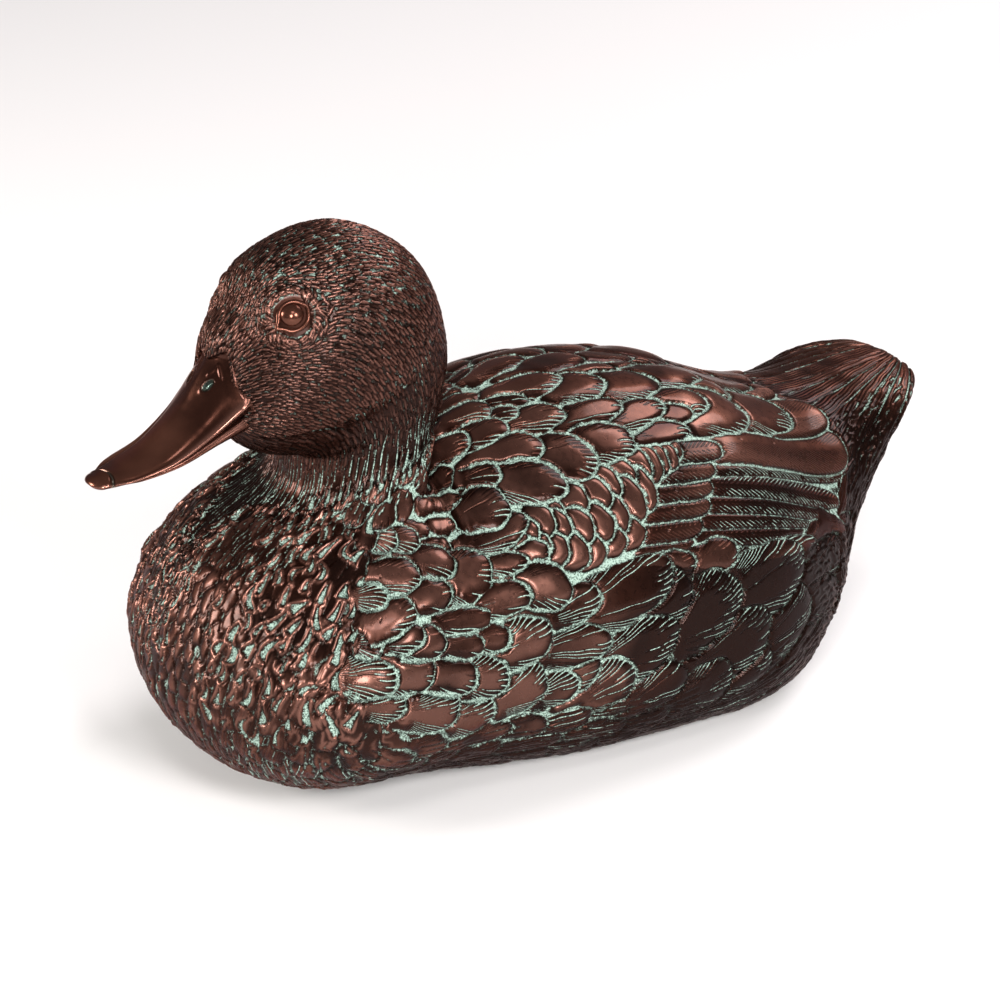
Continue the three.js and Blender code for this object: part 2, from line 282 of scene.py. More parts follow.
def lay(i, j, length, width, toward=None, tip=2.2, widest=0.45, root=0.75, crown=1.5,
        edge=0.5, round_over=3.0, lift=0.4, valley=1.2, green=0.8, bend=0.0, ragged=0.05,
        barbs=None, cut=0.0, upper=0.5, tilt=0.0, turn=0.0, bare=0.2, few=0.0):
    """One feather pressed into the clay, tip backwards, over whatever lies behind it.

    It stands edge mm high all round and rises to crown mm over its first round_over mm. A
    valley is pressed round it, with green left in it, but for the bare share at its root.
    """
    here, up = skin[i, j], outward[i, j]
    along = lie[i, j] if toward is None else np.asarray(toward, float)
    along = unit(along - (along @ up) * up)
    across = np.cross(up, along) * (1 if j <= BACKBONE else -1)
    if turn:
        along, across = swung(along, across, turn)
    window = patch(i, j, math.hypot(length, width) / 2 * 1.12 + valley + 1)
    offset = skin[window] - here
    a, b, c = offset @ along, offset @ across, offset @ up
    flat = a * a + b * b + 1e-6
    stretch = np.sqrt(1 + c * c / flat)
    a, b = a * stretch, b * stretch
    facing = outward[window] @ up > 0.15
    t = a / length + 0.5
    b = b - bend * length * (t - 0.2) ** 2
    wobble = 1 + ragged * np.sin(3 * np.arctan2(b, a) + chance.uniform(0, 6.3)) \
        + ragged * 0.6 * np.sin(7 * np.arctan2(b, a) + chance.uniform(0, 6.3))
    fore = np.clip((t - widest) / (1 - widest), 0, None)
    half_width = width / 2 * (1 - (1 - root) * np.clip((widest - t) / widest, 0, 1) ** 1.5)
    side_part, fore_part = (np.abs(b) / half_width) ** tip, fore ** tip
    whole = (side_part + fore_part) ** (1 / tip) * wobble
    scale = (half_width * side_part + (1 - widest) * length * fore_part) \
        / (side_part + fore_part + 1e-9)
    depth = (1 - whole) * scale
    laid = facing & (depth > 0) & (t > 0)
    dome = (1 - (1 - np.clip(depth / round_over, 0, 1)) ** 2) ** 0.7
    new = edge + (crown - edge) * dome + lift * (t - 0.5) + tilt * b / width
    rooted = ease(t, 0.02, 0.2)
    run, deep = 0.0, 0.0
    if barbs:
        run, deep = barbs_of(barbs, cut, upper, few, a, b, t, depth, half_width)
        if barbs[0] != "leaf" and barbs[1] > WIDE_PITCH:
            groove = np.exp(-((run - np.round(run)) / 0.2) ** 2) * deep
            new = new - 0.3 * groove
    current = relief[window]
    covered = np.where(laid, current * (1 - rooted) + new * rooted, current)
    apron = np.where(facing & (t > 0), ease(depth, -valley, -0.15 * valley), 0)
    apron = np.where(depth > 0, 0, apron) * ease(t, bare + 0.1, bare + 0.3)
    relief[window] = covered * (1 - apron) + np.minimum(covered, 0.05) * apron
    rim = np.exp(-(depth / (0.35 * valley + 0.25)) ** 2) * ease(t, bare, bare + 0.3) \
        * (facing & (depth <= 0))
    was = verdigris[window]
    verdigris[window] = np.where(laid, was * (1 - rooted), np.maximum(was, rim * green))
    for store, value in ((barb_run, run), (barb_cut, deep)):
        store[window] = np.where(laid & (rooted > 0.5), value, store[window])
    barb_cut[window] = barb_cut[window] * (1 - apron)


CROWDING = 1.12           # seeds to a cell
ELBOW_ROOM = 1.25         # seeds push each other off within so many cells
STRIDE = 25               # rows or columns that a seed may move at a time


def spread(where, cell_length, cell_width, seed, settle=24, limit=3000):
    """Seeds of feathers at the given cell sizes, which push one another evenly apart."""
    rng = np.random.default_rng(seed)
    weight = np.where(where, size_of_cell / (cell_length * cell_width), 0).ravel()
    count = min(int(weight.sum() * CROWDING), limit)
    picked = rng.choice(weight.size, count, replace=False, p=weight / weight.sum())
    i, j = (np.array(part, float) for part in np.divmod(picked, RING))
    for turn in range(settle):
        at = (np.clip(np.round(i).astype(int), 0, ROWS - 1), np.round(j).astype(int) % RING)
        point, along, up = skin[at], lie[at], outward[at]
        across = np.cross(up, along)
        long_, wide = cell_length[at][:, None], cell_width[at][:, None]
        a = (along @ point.T - (along * point).sum(1)[:, None]) / long_
        b = (across @ point.T - (across * point).sum(1)[:, None]) / wide
        c = (up @ point.T - (up * point).sum(1)[:, None]) / wide
        q = np.sqrt(a * a + b * b + c * c) + np.eye(count) * 9
        push = np.clip(ELBOW_ROOM - q, 0, None) / q * (0.34 - 0.008 * turn)
        step = -(push * a).sum(1)[:, None] * along * long_ \
            - (push * b).sum(1)[:, None] * across * wide
        ti, tj = headward[at], sideward[at]
        ii, jj, ij = (ti * ti).sum(1), (tj * tj).sum(1), (ti * tj).sum(1)
        si, sj = (step * ti).sum(1), (step * tj).sum(1)
        whole = ii * jj - ij * ij + 1e-4 * ii * jj + 1e-9
        ni = i + np.clip((si * jj - sj * ij) / whole, -STRIDE, STRIDE)
        nj = j + np.clip((sj * ii - si * ij) / whole, -STRIDE, STRIDE)
        ni = np.clip(ni, 0, ROWS - 1)
        inside = where[np.round(ni).astype(int), np.round(nj).astype(int) % RING]
        i, j = np.where(inside, ni, i), np.where(inside, nj, j)
    return np.stack([np.round(i).astype(int), np.round(j).astype(int) % RING], 1)


def laying_order(seeds, reach=26.0):
    """How far along the lie of the plumage each seed is, in mm, agreed with its neighbours."""
    at = tuple(seeds.T)
    point, along = skin[at], lie[at]
    gap = ((point[:, None] - point) ** 2).sum(-1)
    near = (gap < reach ** 2) & (outward[at] @ outward[at].T > 0.2)
    near = near / (gap + 30.0)
    seen = along @ point.T - (along * point).sum(1)[:, None]
    ahead = (seen - seen.T) / 2
    web = np.diag(near.sum(1) + 1e-6) - near
    return np.linalg.solve(web, -(near * ahead).sum(1))


CLEAR = 0.78              # share of its cell that a stroke keeps to itself


def strew(where, cell_length, cell_width, seed):
    """Seeds of small strokes: picked at random, each keeping a clear patch to itself."""
    rng = np.random.default_rng(seed)
    free = where.copy()
    weight = np.where(where, size_of_cell / (cell_length * cell_width), 0).ravel()
    count = min(int(weight.sum() * 5), int((weight > 0).sum()))
    order = rng.choice(weight.size, count, replace=False, p=weight / weight.sum())
    seeds = []
    for picked in order:
        i, j = divmod(int(picked), RING)
        if free[i, j]:
            seeds.append((i, j))
            long_, wide = cell_length[i, j] * CLEAR, cell_width[i, j] * CLEAR
            window = patch(i, j, long_)
            offset = skin[window] - skin[i, j]
            a = offset @ lie[i, j] / long_
            b = offset @ np.cross(outward[i, j], lie[i, j]) / wide
            free[window] &= a * a + b * b > 1
    return np.array(seeds)


def within(outline, first, second):
    """Which points of the skin lie inside an outline given in two of its measures."""
    inside = np.zeros(first.shape, bool)
    for (x0, y0), (x1, y1) in zip(outline, outline[1:] + outline[:1]):
        crosses = (y0 > second) != (y1 > second)
        inside ^= crosses & (first < (x1 - x0) * (second - y0) / (y1 - y0 + 1e-12) + x0)
    return inside


def spot(at_station, at_share, side=1):
    """Row and column of a place: its station along the form and its share of the way up."""
    i = int(np.clip(np.searchsorted(station, at_station), 0, ROWS - 1))
    return i, int(round(BACKBONE * (at_share if side > 0 else 2 - at_share))) % RING


SEARCH = 60               # rows and columns searched for the middle of a feather


def lay_between(start, end, width, side, tuck=0.04, **shape):
    """A feather from its root to its tip, each a station and a share of the way up."""
    (i0, j0), (i1, j1) = spot(*start, side), spot(*end, side)
    reach = (skin[i1, j1] - skin[i0, j0]) * (1 + tuck)
    i, j = spot((start[0] + end[0]) / 2, (start[1] + end[1]) / 2, side)
    first_i, first_j = max(i - SEARCH, 0), max(j - SEARCH, 0)
    away = ((skin[first_i:i + SEARCH, first_j:j + SEARCH]
             - skin[i1, j1] + reach / 2 - outward[i, j] * 2) ** 2).sum(-1)
    di, dj = divmod(int(away.argmin()), away.shape[1])
    lay(first_i + di, first_j + dj, np.linalg.norm(reach), width, toward=reach, **shape)


def lay_row(feathers, side, **shape):
    """A row of feathers, each a root station and height, a tip station and height, a width."""
    for root_station, root_height, tip_station, tip_height, width in feathers:
        lay_between((root_station, root_height), (tip_station, tip_height), width, side,
                    **shape)


# PLUMAGE TRACTS. A sample of each tract of the body: where it grows ([x, y, z] on the left
# side), how long and wide a feather shows, how high it stands, and how ragged, green, barbed
# (fan or hair), melted and runny it is. A feather takes after the tracts nearest to it.
TRACTS = {
    "breast_front": ([0, -141, 55], dict(cell=(6.5, 5.5), crown=0.9, ragged=0.12, green=0.3,
                                         melt=0.8)),
    "breast_top": ([33, -110, 92], dict(cell=(8, 6), crown=0.4, ragged=0.1, green=0.1,
                                        melt=1.2)),
    "neck_side": ([38, -70, 106], dict(cell=(8, 7.5), crown=1.3, green=0.85, fan=0.5)),
    "breast_side": ([62, -108, 50], dict(cell=(8.5, 7), crown=1.1, ragged=0.12, green=0.3,
                                         melt=1.0, runny=1.0)),
    "breast_corner": ([66, -92, 42], dict(cell=(13, 12), crown=1.6, green=0.9, fan=0.9)),
    "breast_low": ([45, -122, 20], dict(cell=(12, 9), crown=0.9, ragged=0.08, green=0.2,
                                        melt=0.5, hair=1.0)),
    "shoulder": ([69, -72, 78], dict(cell=(10, 10), crown=1.6, green=0.8, fan=0.5, melt=0.2)),
    "side_front": ([77, -50, 45], dict(cell=(12, 12), crown=1.7, green=0.9, fan=0.8)),
    "side": ([79, -10, 58], dict(cell=(13, 12.5), crown=1.8, green=0.9, fan=0.8)),
    "side_low": ([76, -30, 20], dict(cell=(17, 11), crown=1.1, green=0.4, hair=0.9)),
    "breast_base": ([60, -95, 14], dict(cell=(15, 10), crown=1.0, green=0.4, hair=0.9)),
    "flank": ([74, 40, 48], dict(cell=(20, 17), crown=1.5, green=0.7, fan=1.0)),
    "flank_rear": ([62, 85, 50], dict(cell=(22, 16), crown=1.3, green=0.5, fan=1.0)),
    "flank_low": ([70, 45, 14], dict(cell=(24, 9), crown=0.7, green=0.3, hair=1.0)),
    "rump_side": ([46, 118, 62], dict(cell=(13, 8), crown=0.8, green=0.5, hair=0.6)),
    "undertail": ([30, 142, 62], dict(cell=(8, 4), crown=0.7, green=0.5, hair=0.5)),
    "under_rump": ([35, 112, 22], dict(cell=(14, 6), crown=0.7, green=0.35, hair=0.8)),
    "mantle": ([18, -28, 121], dict(cell=(15, 13), crown=1.5, green=0.7, fan=0.6)),
    "scapular": ([45, 5, 116], dict(cell=(20, 15), crown=1.7, green=0.8, fan=0.7)),
    "back": ([18, 40, 121], dict(cell=(22, 17), crown=1.6, green=0.6, fan=0.7)),
    "lower_back": ([12, 85, 105], dict(cell=(23, 18), crown=1.5, green=0.5, fan=0.6)),
    "uppertail": ([15, 125, 95], dict(cell=(20, 10), crown=1.0, green=0.6, hair=0.5)),
    "tail": ([15, 160, 96], dict(cell=(22, 8), crown=1.0, green=0.6, hair=0.5)),
}
places = np.array([place for place, _ in TRACTS.values()], float)
manners = [manner for _, manner in TRACTS.values()]
nearness = np.stack([1 / (((beside - place) ** 2).sum(-1) + 60) ** 2 for place in places], -1)
nearness /= nearness.sum(-1, keepdims=True)
cell_length = nearness @ np.array([manner["cell"][0] for manner in manners])
cell_width = nearness @ np.array([manner["cell"][1] for manner in manners])
qualities = {name: nearness @ np.array([manner.get(name, usual) for manner in manners])
             for name, usual in (("crown", 1.2), ("ragged", 0.05), ("green", 0.6),
                                 ("fan", 0.0), ("hair", 0.0), ("melt", 0.0),
                                 ("runny", 0.0))}

# The station where the body's feathers end and the neck begins, lower in front.
NECK_EDGE = 12.4
front = 1 - ease(share_up, 0.15, 0.36)
neck_edge = NECK_EDGE - 0.5 * front - 0.8 * ease(-X, 0, 22)
underside = (Z < 1.2) & (outward[..., 2] < -0.6)


# THE WING. The folded wing: a patch of small scales that overlap like roof tiles, six
# coverts, seven long flight feathers and three broad smooth tertials over them. Each is
# given as root station, root height, tip station, tip height and width in mm.
WING_EDGE = [(7.72, 0.64), (7.0, 0.655), (6.55, 0.69), (5.9, 0.71), (5.35, 0.735), (5.2, 0.8),
             (5.05, 0.93), (3.6, 0.985), (3.0, 0.80), (3.05, 0.63), (3.45, 0.58), (4.1, 0.47),
             (4.6, 0.42), (5.5, 0.41), (6.3, 0.465), (7.0, 0.505), (7.45, 0.535), (7.8, 0.6)]
FLIGHT = [(6.3, 0.45, 5.1, 0.405, 8.0), (6.2, 0.474, 4.55, 0.425, 8.4),
          (6.0, 0.507, 4.27, 0.468, 8.4), (5.95, 0.54, 4.12, 0.505, 8.4),
          (5.85, 0.573, 3.92, 0.548, 8.4), (5.75, 0.606, 3.68, 0.592, 8.8),
          (5.6, 0.64, 3.42, 0.625, 9.4)]
TERTIALS = [(5.35, 0.69, 3.14, 0.652, 21.0), (5.3, 0.775, 3.06, 0.785, 22.0),
            (5.3, 0.90, 3.44, 0.955, 19.0)]
COVERTS = [(6.5, 0.50, 5.82, 0.481, 8.0), (6.4, 0.535, 5.68, 0.514, 8.2),
           (6.3, 0.57, 5.53, 0.552, 8.2), (6.2, 0.604, 5.45, 0.590, 8.2),
           (6.05, 0.636, 5.32, 0.626, 8.2), (5.9, 0.674, 5.15, 0.668, 9.0)]
SCALES = [
    (7.48, .640, 7.21, .605, 14), (7.63, .631, 7.42, .608, 9), (7.81, .625, 7.58, .596, 8),
    (7.58, .596, 7.33, .573, 11), (7.24, .645, 7.03, .622, 9), (7.24, .610, 7.03, .584, 12),
    (7.42, .573, 7.15, .547, 13), (6.96, .651, 6.74, .613, 13), (7.07, .593, 6.79, .570, 14),
    (7.21, .552, 6.93, .526, 14), (6.72, .645, 6.50, .608, 14), (6.83, .587, 6.58, .555, 16),
    (7.01, .544, 6.74, .517, 15), (6.56, .654, 6.36, .619, 16), (6.63, .590, 6.38, .564, 16),
    (6.77, .547, 6.49, .523, 12), (6.36, .663, 6.16, .631, 15), (6.43, .608, 6.19, .570, 19),
    (6.52, .547, 6.27, .526, 12), (6.21, .677, 6.00, .637, 19), (6.25, .619, 6.04, .584, 19),
    (6.07, .669, 5.87, .637, 19), (5.97, .674, 5.75, .648, 17), (5.84, .680, 5.65, .654, 15),
    (5.75, .689, 5.56, .672, 13)]


# THE SIDE, THE FLANK, THE BACK AND THE TAIL. The larger body feathers, set one by one and
# given as the wing's are: small round ones on the side, long fringed ones on the flank,
# broad ones down the back, and seven straight quills on each half of the tail fan.
SIDE = [
    (11.36, .456, 10.98, .573, 11), (11.06, .552, 10.58, .657, 10), (10.44, .628, 9.34, .703, 13),
    (9.65, .669, 8.23, .602, 19), (8.29, .613, 7.68, .570, 8), (10.81, .483, 10.30, .625, 14),
    (10.26, .570, 9.27, .657, 12), (8.58, .564, 7.70, .515, 12), (7.78, .532, 7.20, .480, 16),
    (10.75, .439, 10.50, .526, 10), (10.42, .465, 10.16, .576, 14), (9.40, .596, 8.27, .517, 9),
    (10.18, .488, 9.70, .567, 10), (9.93, .523, 9.16, .573, 12), (9.16, .561, 8.37, .474, 10),
    (8.48, .491, 7.98, .451, 10), (8.12, .430, 7.51, .427, 17), (9.97, .462, 9.14, .512, 15),
    (9.14, .506, 8.37, .410, 13), (8.51, .419, 7.97, .375, 15), (8.04, .328, 7.55, .340, 19),
    (10.18, .398, 9.68, .483, 14), (10.35, .436, 10.14, .485, 9), (9.76, .416, 9.32, .465, 12),
    (9.20, .448, 8.50, .363, 16), (8.52, .346, 8.06, .305, 18)]
FLANK = [
    (7.48, .445, 6.91, .453, 13), (7.09, .422, 6.09, .448, 21), (6.54, .375, 5.92, .410, 20),
    (7.60, .387, 6.86, .352, 15), (6.96, .299, 6.11, .317, 22), (7.09, .247, 6.61, .273, 19),
    (7.48, .305, 6.98, .314, 16), (7.61, .297, 7.20, .288, 13), (6.11, .317, 5.47, .384, 26),
    (6.00, .221, 5.20, .279, 27), (5.54, .346, 4.65, .410, 26), (5.28, .230, 4.60, .320, 25),
    (5.78, .166, 5.18, .209, 22), (6.05, .157, 5.59, .183, 21), (6.56, .198, 6.04, .227, 18),
    (5.16, .416, 4.32, .433, 11)]
BACK = [
    (6.79, .945, 6.09, .930, 16), (6.36, .890, 5.75, .895, 19), (7.61, .942, 6.99, .922, 14),
    (7.18, .890, 6.77, .878, 9), (6.99, .930, 6.58, .901, 8), (7.70, .872, 7.04, .858, 13),
    (7.10, .849, 6.36, .831, 14), (6.54, .805, 5.82, .814, 13), (6.09, .765, 5.42, .802, 13),
    (7.61, .808, 6.84, .770, 16), (6.99, .750, 6.41, .706, 20), (6.49, .735, 5.94, .727, 17),
    (7.67, .747, 6.84, .674, 17), (8.08, .791, 7.51, .759, 11), (8.57, .741, 7.63, .703, 17),
    (8.61, .680, 7.47, .648, 12), (5.89, .872, 5.26, .881, 20), (5.37, .895, 4.60, .945, 18),
    (5.21, .843, 4.45, .885, 20), (5.64, .791, 4.92, .811, 18), (6.00, .765, 5.20, .773, 13),
    (6.02, .733, 5.33, .730, 11), (5.25, .767, 4.47, .808, 24), (4.84, .805, 3.75, .845, 27)]
TAIL = [(3.5, 0.47 + 0.083 * k, 0.25, 0.50 + 0.076 * k, 9.0) for k in range(7)]


def lay_tracts(seeds):
    """Body feathers, each with the qualities of its place."""
    for i, j in seeds:
        smooth = min(qualities["melt"][i, j], 1.0) * chance.uniform(0.5, 1.0)
        length = cell_length[i, j] * chance.uniform(1.45, 1.75)
        width = cell_width[i, j] * chance.uniform(1.02, 1.2)
        crown, ragged, green, fan, hair = (qualities[name][i, j] for name in
                                           ("crown", "ragged", "green", "fan", "hair"))
        barbs, cut = None, 0
        if max(fan, hair) > 0.2:
            barbs = ("fan", chance.uniform(1.4, 1.8), 0.4 * width) if fan > hair else \
                ("hair", chance.uniform(1.3, 1.7), 0)
            cut = max(fan, hair)
        lay(i, j, length, width, crown=1.2 * crown * chance.uniform(0.85, 1.15),
            edge=(0.3 + 0.4 * smooth) * crown, round_over=min(4.6, 0.42 * width),
            lift=0.3 * crown, ragged=ragged, green=green * (1 - 0.9 * smooth),
            valley=np.clip(width * 0.11 * (1 - 0.6 * smooth), 0.4, 1.3),
            tip=chance.uniform(2.0, 2.7), widest=chance.uniform(0.35, 0.5),
            turn=chance.normal(0, 0.12), barbs=barbs, cut=cut, bend=chance.normal(0, 0.03))


def lay_placed(kind, root, tip, width, side):
    """One of the large feathers whose place is known."""
    crown, round_over, reach = dict(side=(2.6, 0.5, 6.5), flank=(1.8, 0.32, 15.0),
                                    back=(2.1, 0.42, 9.0))[kind]
    low_side = kind == "side" and root[1] <= 0.46
    reach = 12.0 if low_side else reach
    crown *= np.clip(width / 14, 0.7, 1.1)
    lay_between(root, tip, width * 1.06, side, tuck=0.3, tip=2.25, widest=0.45, crown=crown,
                edge=0.2 * crown, round_over=round_over * width, lift=0.3 * crown,
                valley=0.68, green=0.9, ragged=0.035,
                barbs=("fan", chance.uniform(1.6, 2.2), reach), cut=1.0,
                upper=0.9 if reach > 10 else 0.45, few=0.3 if low_side else 0.0)


wing_zone = within(WING_EDGE, stations_here, share_up)
KINDS = (("side", SIDE), ("flank", FLANK), ("back", BACK))
placed = [(spot((root + tip) / 2, (root_up + tip_up) / 2, side), kind,
           (root, root_up), (tip, tip_up), width, side)
          for side in (1, -1) for kind, table in KINDS
          for root, root_up, tip, tip_up, width in table]
taken = np.zeros((ROWS, RING), bool)      # where a large feather will lie
for (i, j), _, root, tip, width, side in placed:
    reach = skin[spot(*tip, side)] - skin[spot(*root, side)]
    length = np.linalg.norm(reach)
    window = patch(i, j, max(length, width))
    offset = skin[window] - (skin[spot(*tip, side)] + skin[spot(*root, side)]) / 2
    along = offset @ reach / length
    across = (offset ** 2).sum(-1) - along ** 2
    taken[window] |= (along / (length * 0.45)) ** 2 + across / (width * 0.4) ** 2 < 1
body = (stations_here < neck_edge) & ~underside & ~wing_zone & ~taken
body &= size_of_cell > 1e-3
seeds = spread(body, cell_length, cell_width, 11)
every = np.concatenate([seeds, np.array([at for at, *_ in placed])])
laid_order = np.argsort(-laying_order(every))
RUMP_STATION = 3.9        # the rump and the tail lie behind this
rear = station[every[:, 0]] <= RUMP_STATION
between = blurred(taken.astype(float), 9, 12)[tuple(every.T)] > 0.12

# The rump is laid first, then the tail fan, the two wings, the small feathers that show
# between the large ones, and last the rest of the body, each over the one behind it.
lay_tracts([every[k] for k in laid_order if rear[k] and k < len(seeds)])
for side in (1, -1):
    lay_row(TAIL, side, tip=3.0, widest=0.7, root=0.85, crown=1.3, edge=0.7, round_over=2.4,
            lift=0.2, valley=1.1, green=0.9, tilt=-0.4, barbs=("hair", 1.5, 0), cut=0.5,
            ragged=0.01)
for side in (1, -1):
    lay_row(FLIGHT, side, tip=2.6, widest=0.72, root=0.9, crown=1.0, edge=0.45,
            round_over=1.8, lift=0.2, valley=0.9, green=1.1, tilt=-0.3,
            barbs=("leaf", 2.3, 1.5), cut=0.7, ragged=0.01, bare=-0.25)
    lay_row(TERTIALS, side, tip=2.9, widest=0.66, root=0.8, crown=1.9, edge=1.1,
            round_over=3.2, lift=0.3, valley=1.7, green=0.95, tilt=-0.4,
            barbs=("leaf", 2.2, 1.8), cut=0.42, ragged=0.02, bare=-0.1)
    lay_row(COVERTS, side, tip=2.6, widest=0.62, root=0.9, crown=1.5, edge=0.7,
            round_over=2.4, lift=0.3, valley=1.3, green=0.95, tilt=-0.4,
            barbs=("leaf", 2.1, 1.3), cut=0.55, ragged=0.02, bare=-0.1)
    lay_row(sorted(SCALES, key=lambda scale: scale[2]), side, tuck=0.5, tip=2.0, widest=0.4,
            root=0.9, crown=2.2, edge=0.5, round_over=3.2, lift=1.0, valley=1.1, green=0.95,
            ragged=0.03)
lay_tracts([every[k] for k in laid_order if between[k] and not rear[k] and k < len(seeds)])
for k in laid_order:
    if k < len(seeds) and not rear[k] and not between[k]:
        lay_tracts([every[k]])
    elif k >= len(seeds):
        lay_placed(*placed[k - len(seeds)][1:])


# THE NECK AND THE HEAD. Down is too fine to model feather by feather. The head is drawn
# with short raised strokes, finest round the bill and the eyes, and the neck is engraved
# with thin dashes over fainter strokes. The cheeks stand over it in a rounded fold.
BARE_EYE = 7.5            # no strokes this near the middle of an eye, in mm
head_edge = np.interp(share_up, [0, 0.24, 0.255, 0.297, 0.419, 0.57, 0.695, 1],
                      [19.2, 18.4, 16.8, 15.16, 14.55, 14.36, 14.31, 14.3])
CHEEK_FOLD = np.array([[15, -117, 135], [23, -105, 133], [27, -90, 134], [30, -76, 139],
                       [30, -63, 146], [26, -52, 154], [14, -41, 160], [0, -37, 162]], float)


def distance_to(line, points):
    """How far each point is from a line through the given places."""
    nearest = np.full(points.shape[:-1], 1e9)
    for start, end in zip(line, line[1:]):
        share = ((points - start) @ (end - start)) / ((end - start) @ (end - start))
        foot = start + np.clip(share, 0, 1)[..., None] * (end - start)
        nearest = np.minimum(nearest, np.linalg.norm(points - foot, axis=-1))
    return nearest


neck = (stations_here >= neck_edge - 0.15) & (stations_here <= head_edge)
head = stations_here > head_edge
above_edge = stations_here - neck_edge
fineness = ease(above_edge, 0.5, 1.2)
head &= np.linalg.norm(beside - EYE, axis=-1) > BARE_EYE
near_bill = ease(Y, -85, -117)
stroke_length = np.where(head, 3.8 - 1.1 * near_bill, 5.5 - fineness)
stroke_width = np.where(head, 1.15 - 0.2 * near_bill, 1.3)
strokes = strew(head | neck, stroke_length, stroke_width, 22)
for i, j in strokes[np.argsort(strokes[:, 0])]:
    full = 1.0 if head[i, j] else 0.1 + 0.9 * fineness[i, j]
    lay(i, j, stroke_length[i, j] * 1.25, stroke_width[i, j] * 1.15,
        crown=(0.45 if head[i, j] else 0.35 * full) * chance.uniform(0.7, 1.25),
        edge=0.05 * full, round_over=0.6, lift=0.15 * full, valley=0.25,
        green=0.0, turn=chance.normal(0, 0.05), bend=chance.normal(0, 0.03), tip=1.8)


# THE BREAST. Here the small feathers run together, as if half melted. Where the tips of two
# meet there is a three-cornered pit with a raised lip, with verdigris in it. The belly and
# the sides of the tail are scored with longer cuts of the same tool.
def prick(i, j, length, width, depth, lip, astray=0.2, taper=0.8, soft=0.4, green=1.0):
    """A pit or a cut drawn out along the lie of the plumage, narrow at its root."""
    window = patch(i, j, length + 2)
    up = outward[i, j]
    along, across = swung(lie[i, j], np.cross(up, lie[i, j]), chance.normal(0, astray))
    offset = skin[window] - skin[i, j]
    a, b = offset @ along, offset @ across
    b = b - 0.5 * astray * chance.normal() * a * a / max(length, 3) * 3
    half_width = width / 2 * np.clip(a / length + 0.5, 0.1, 1) ** taper
    outside = np.hypot(np.clip(np.abs(b) - half_width, 0, None),
                       np.clip(np.abs(a) - length / 2, 0, None))
    inside = np.clip(half_width - np.abs(b), 0, None) * (np.abs(a) < length / 2)
    pit = ease(inside - outside, -soft, min(0.4, 0.3 * width))
    near = (outward[window] @ up > 0.3)
    relief[window] += near * (lip * np.exp(-((outside - 0.85) / 0.5) ** 2) - depth * pit)
    verdigris[window] = np.maximum(verdigris[window], near * pit * green)
    barb_cut[window] = barb_cut[window] * (1 - pit * near)


melt = qualities["melt"] * body * ease(blurred(taken.astype(float), 4, 6), 0.35, 0.15)
for i, j in seeds:
    if chance.uniform() < ease(melt[i, j], 0.15, 0.5) * (0.45 + 0.5 * ease(Z[i, j], 22, 50)):
        size = np.clip(cell_length[i, j] / 7.5, 0.8, 1.2) * chance.uniform(0.5, 1.3)
        window = patch(i, j, cell_length[i, j])
        meeting = skin[i, j] - lie[i, j] * 0.55 * cell_length[i, j]
        away = ((skin[window] - meeting) ** 2).sum(-1)
        di, dj = divmod(int(away.argmin()), away.shape[1])
        if isinstance(window[0], slice):
            drawn_out = chance.uniform(0.8, 1.9)
            prick(window[0].start + di, window[1].start + dj, 4.2 * size * drawn_out,
                  2.5 * size / drawn_out ** 0.6, 0.7 * size, 0.8 * np.clip(melt[i, j], 0, 1),
                  astray=0.38, taper=chance.uniform(0.5, 1.5))

# The neck and the top of the breast are engraved with fine straight dashes, which grow short
# and sparse where the breast feathers begin.
dashed = (above_edge > -0.75) & (above_edge < 1.9) & ~underside & (share_up < 0.72)
long_dash = ease(above_edge, -0.1, 0.25)
dash_length, dash_gap = 2.4 + 6.5 * long_dash, 2.7 - 1.2 * long_dash
for i, j in strew(dashed, dash_length, dash_gap, 71):
    prick(i, j, dash_length[i, j] * chance.uniform(0.7, 1.3),
          chance.uniform(0.4, 0.55) + 0.2 * (1 - long_dash[i, j]), 0.3, 0.05, astray=0.03,
          taper=0.3, soft=0.22, green=1 - 0.6 * fineness[i, j])
neck_line = np.exp(-(above_edge / 0.16) ** 2) * ease(share_up, 0.4, 0.5)
verdigris = np.maximum(verdigris, 0.45 * neck_line)

# Long cuts along the belly, and short ones on the sides of the tail.
BELLY_TOP = 36            # mm
low_zone = body & (Z < BELLY_TOP) & (stations_here > RUMP_STATION)
for i, j in strew(low_zone, np.full_like(X, 9.0), np.full_like(X, 2.7), 73):
    if chance.uniform() < ease(Z[i, j], 42, 24):
        prick(i, j, chance.uniform(6, 13), chance.uniform(0.4, 0.7), 0.45, 0.2, astray=0.06,
              taper=0.3, soft=0.3, green=0.8)
tail_side = (stations_here > 1.6) & (stations_here < 4.6) & (share_up < 0.72) & ~wing_zone
for i, j in strew(tail_side & ~underside, np.full_like(X, 5.0), np.full_like(X, 3.0), 74):
    prick(i, j, chance.uniform(3, 6), chance.uniform(0.5, 0.9), 0.45, 0.2)

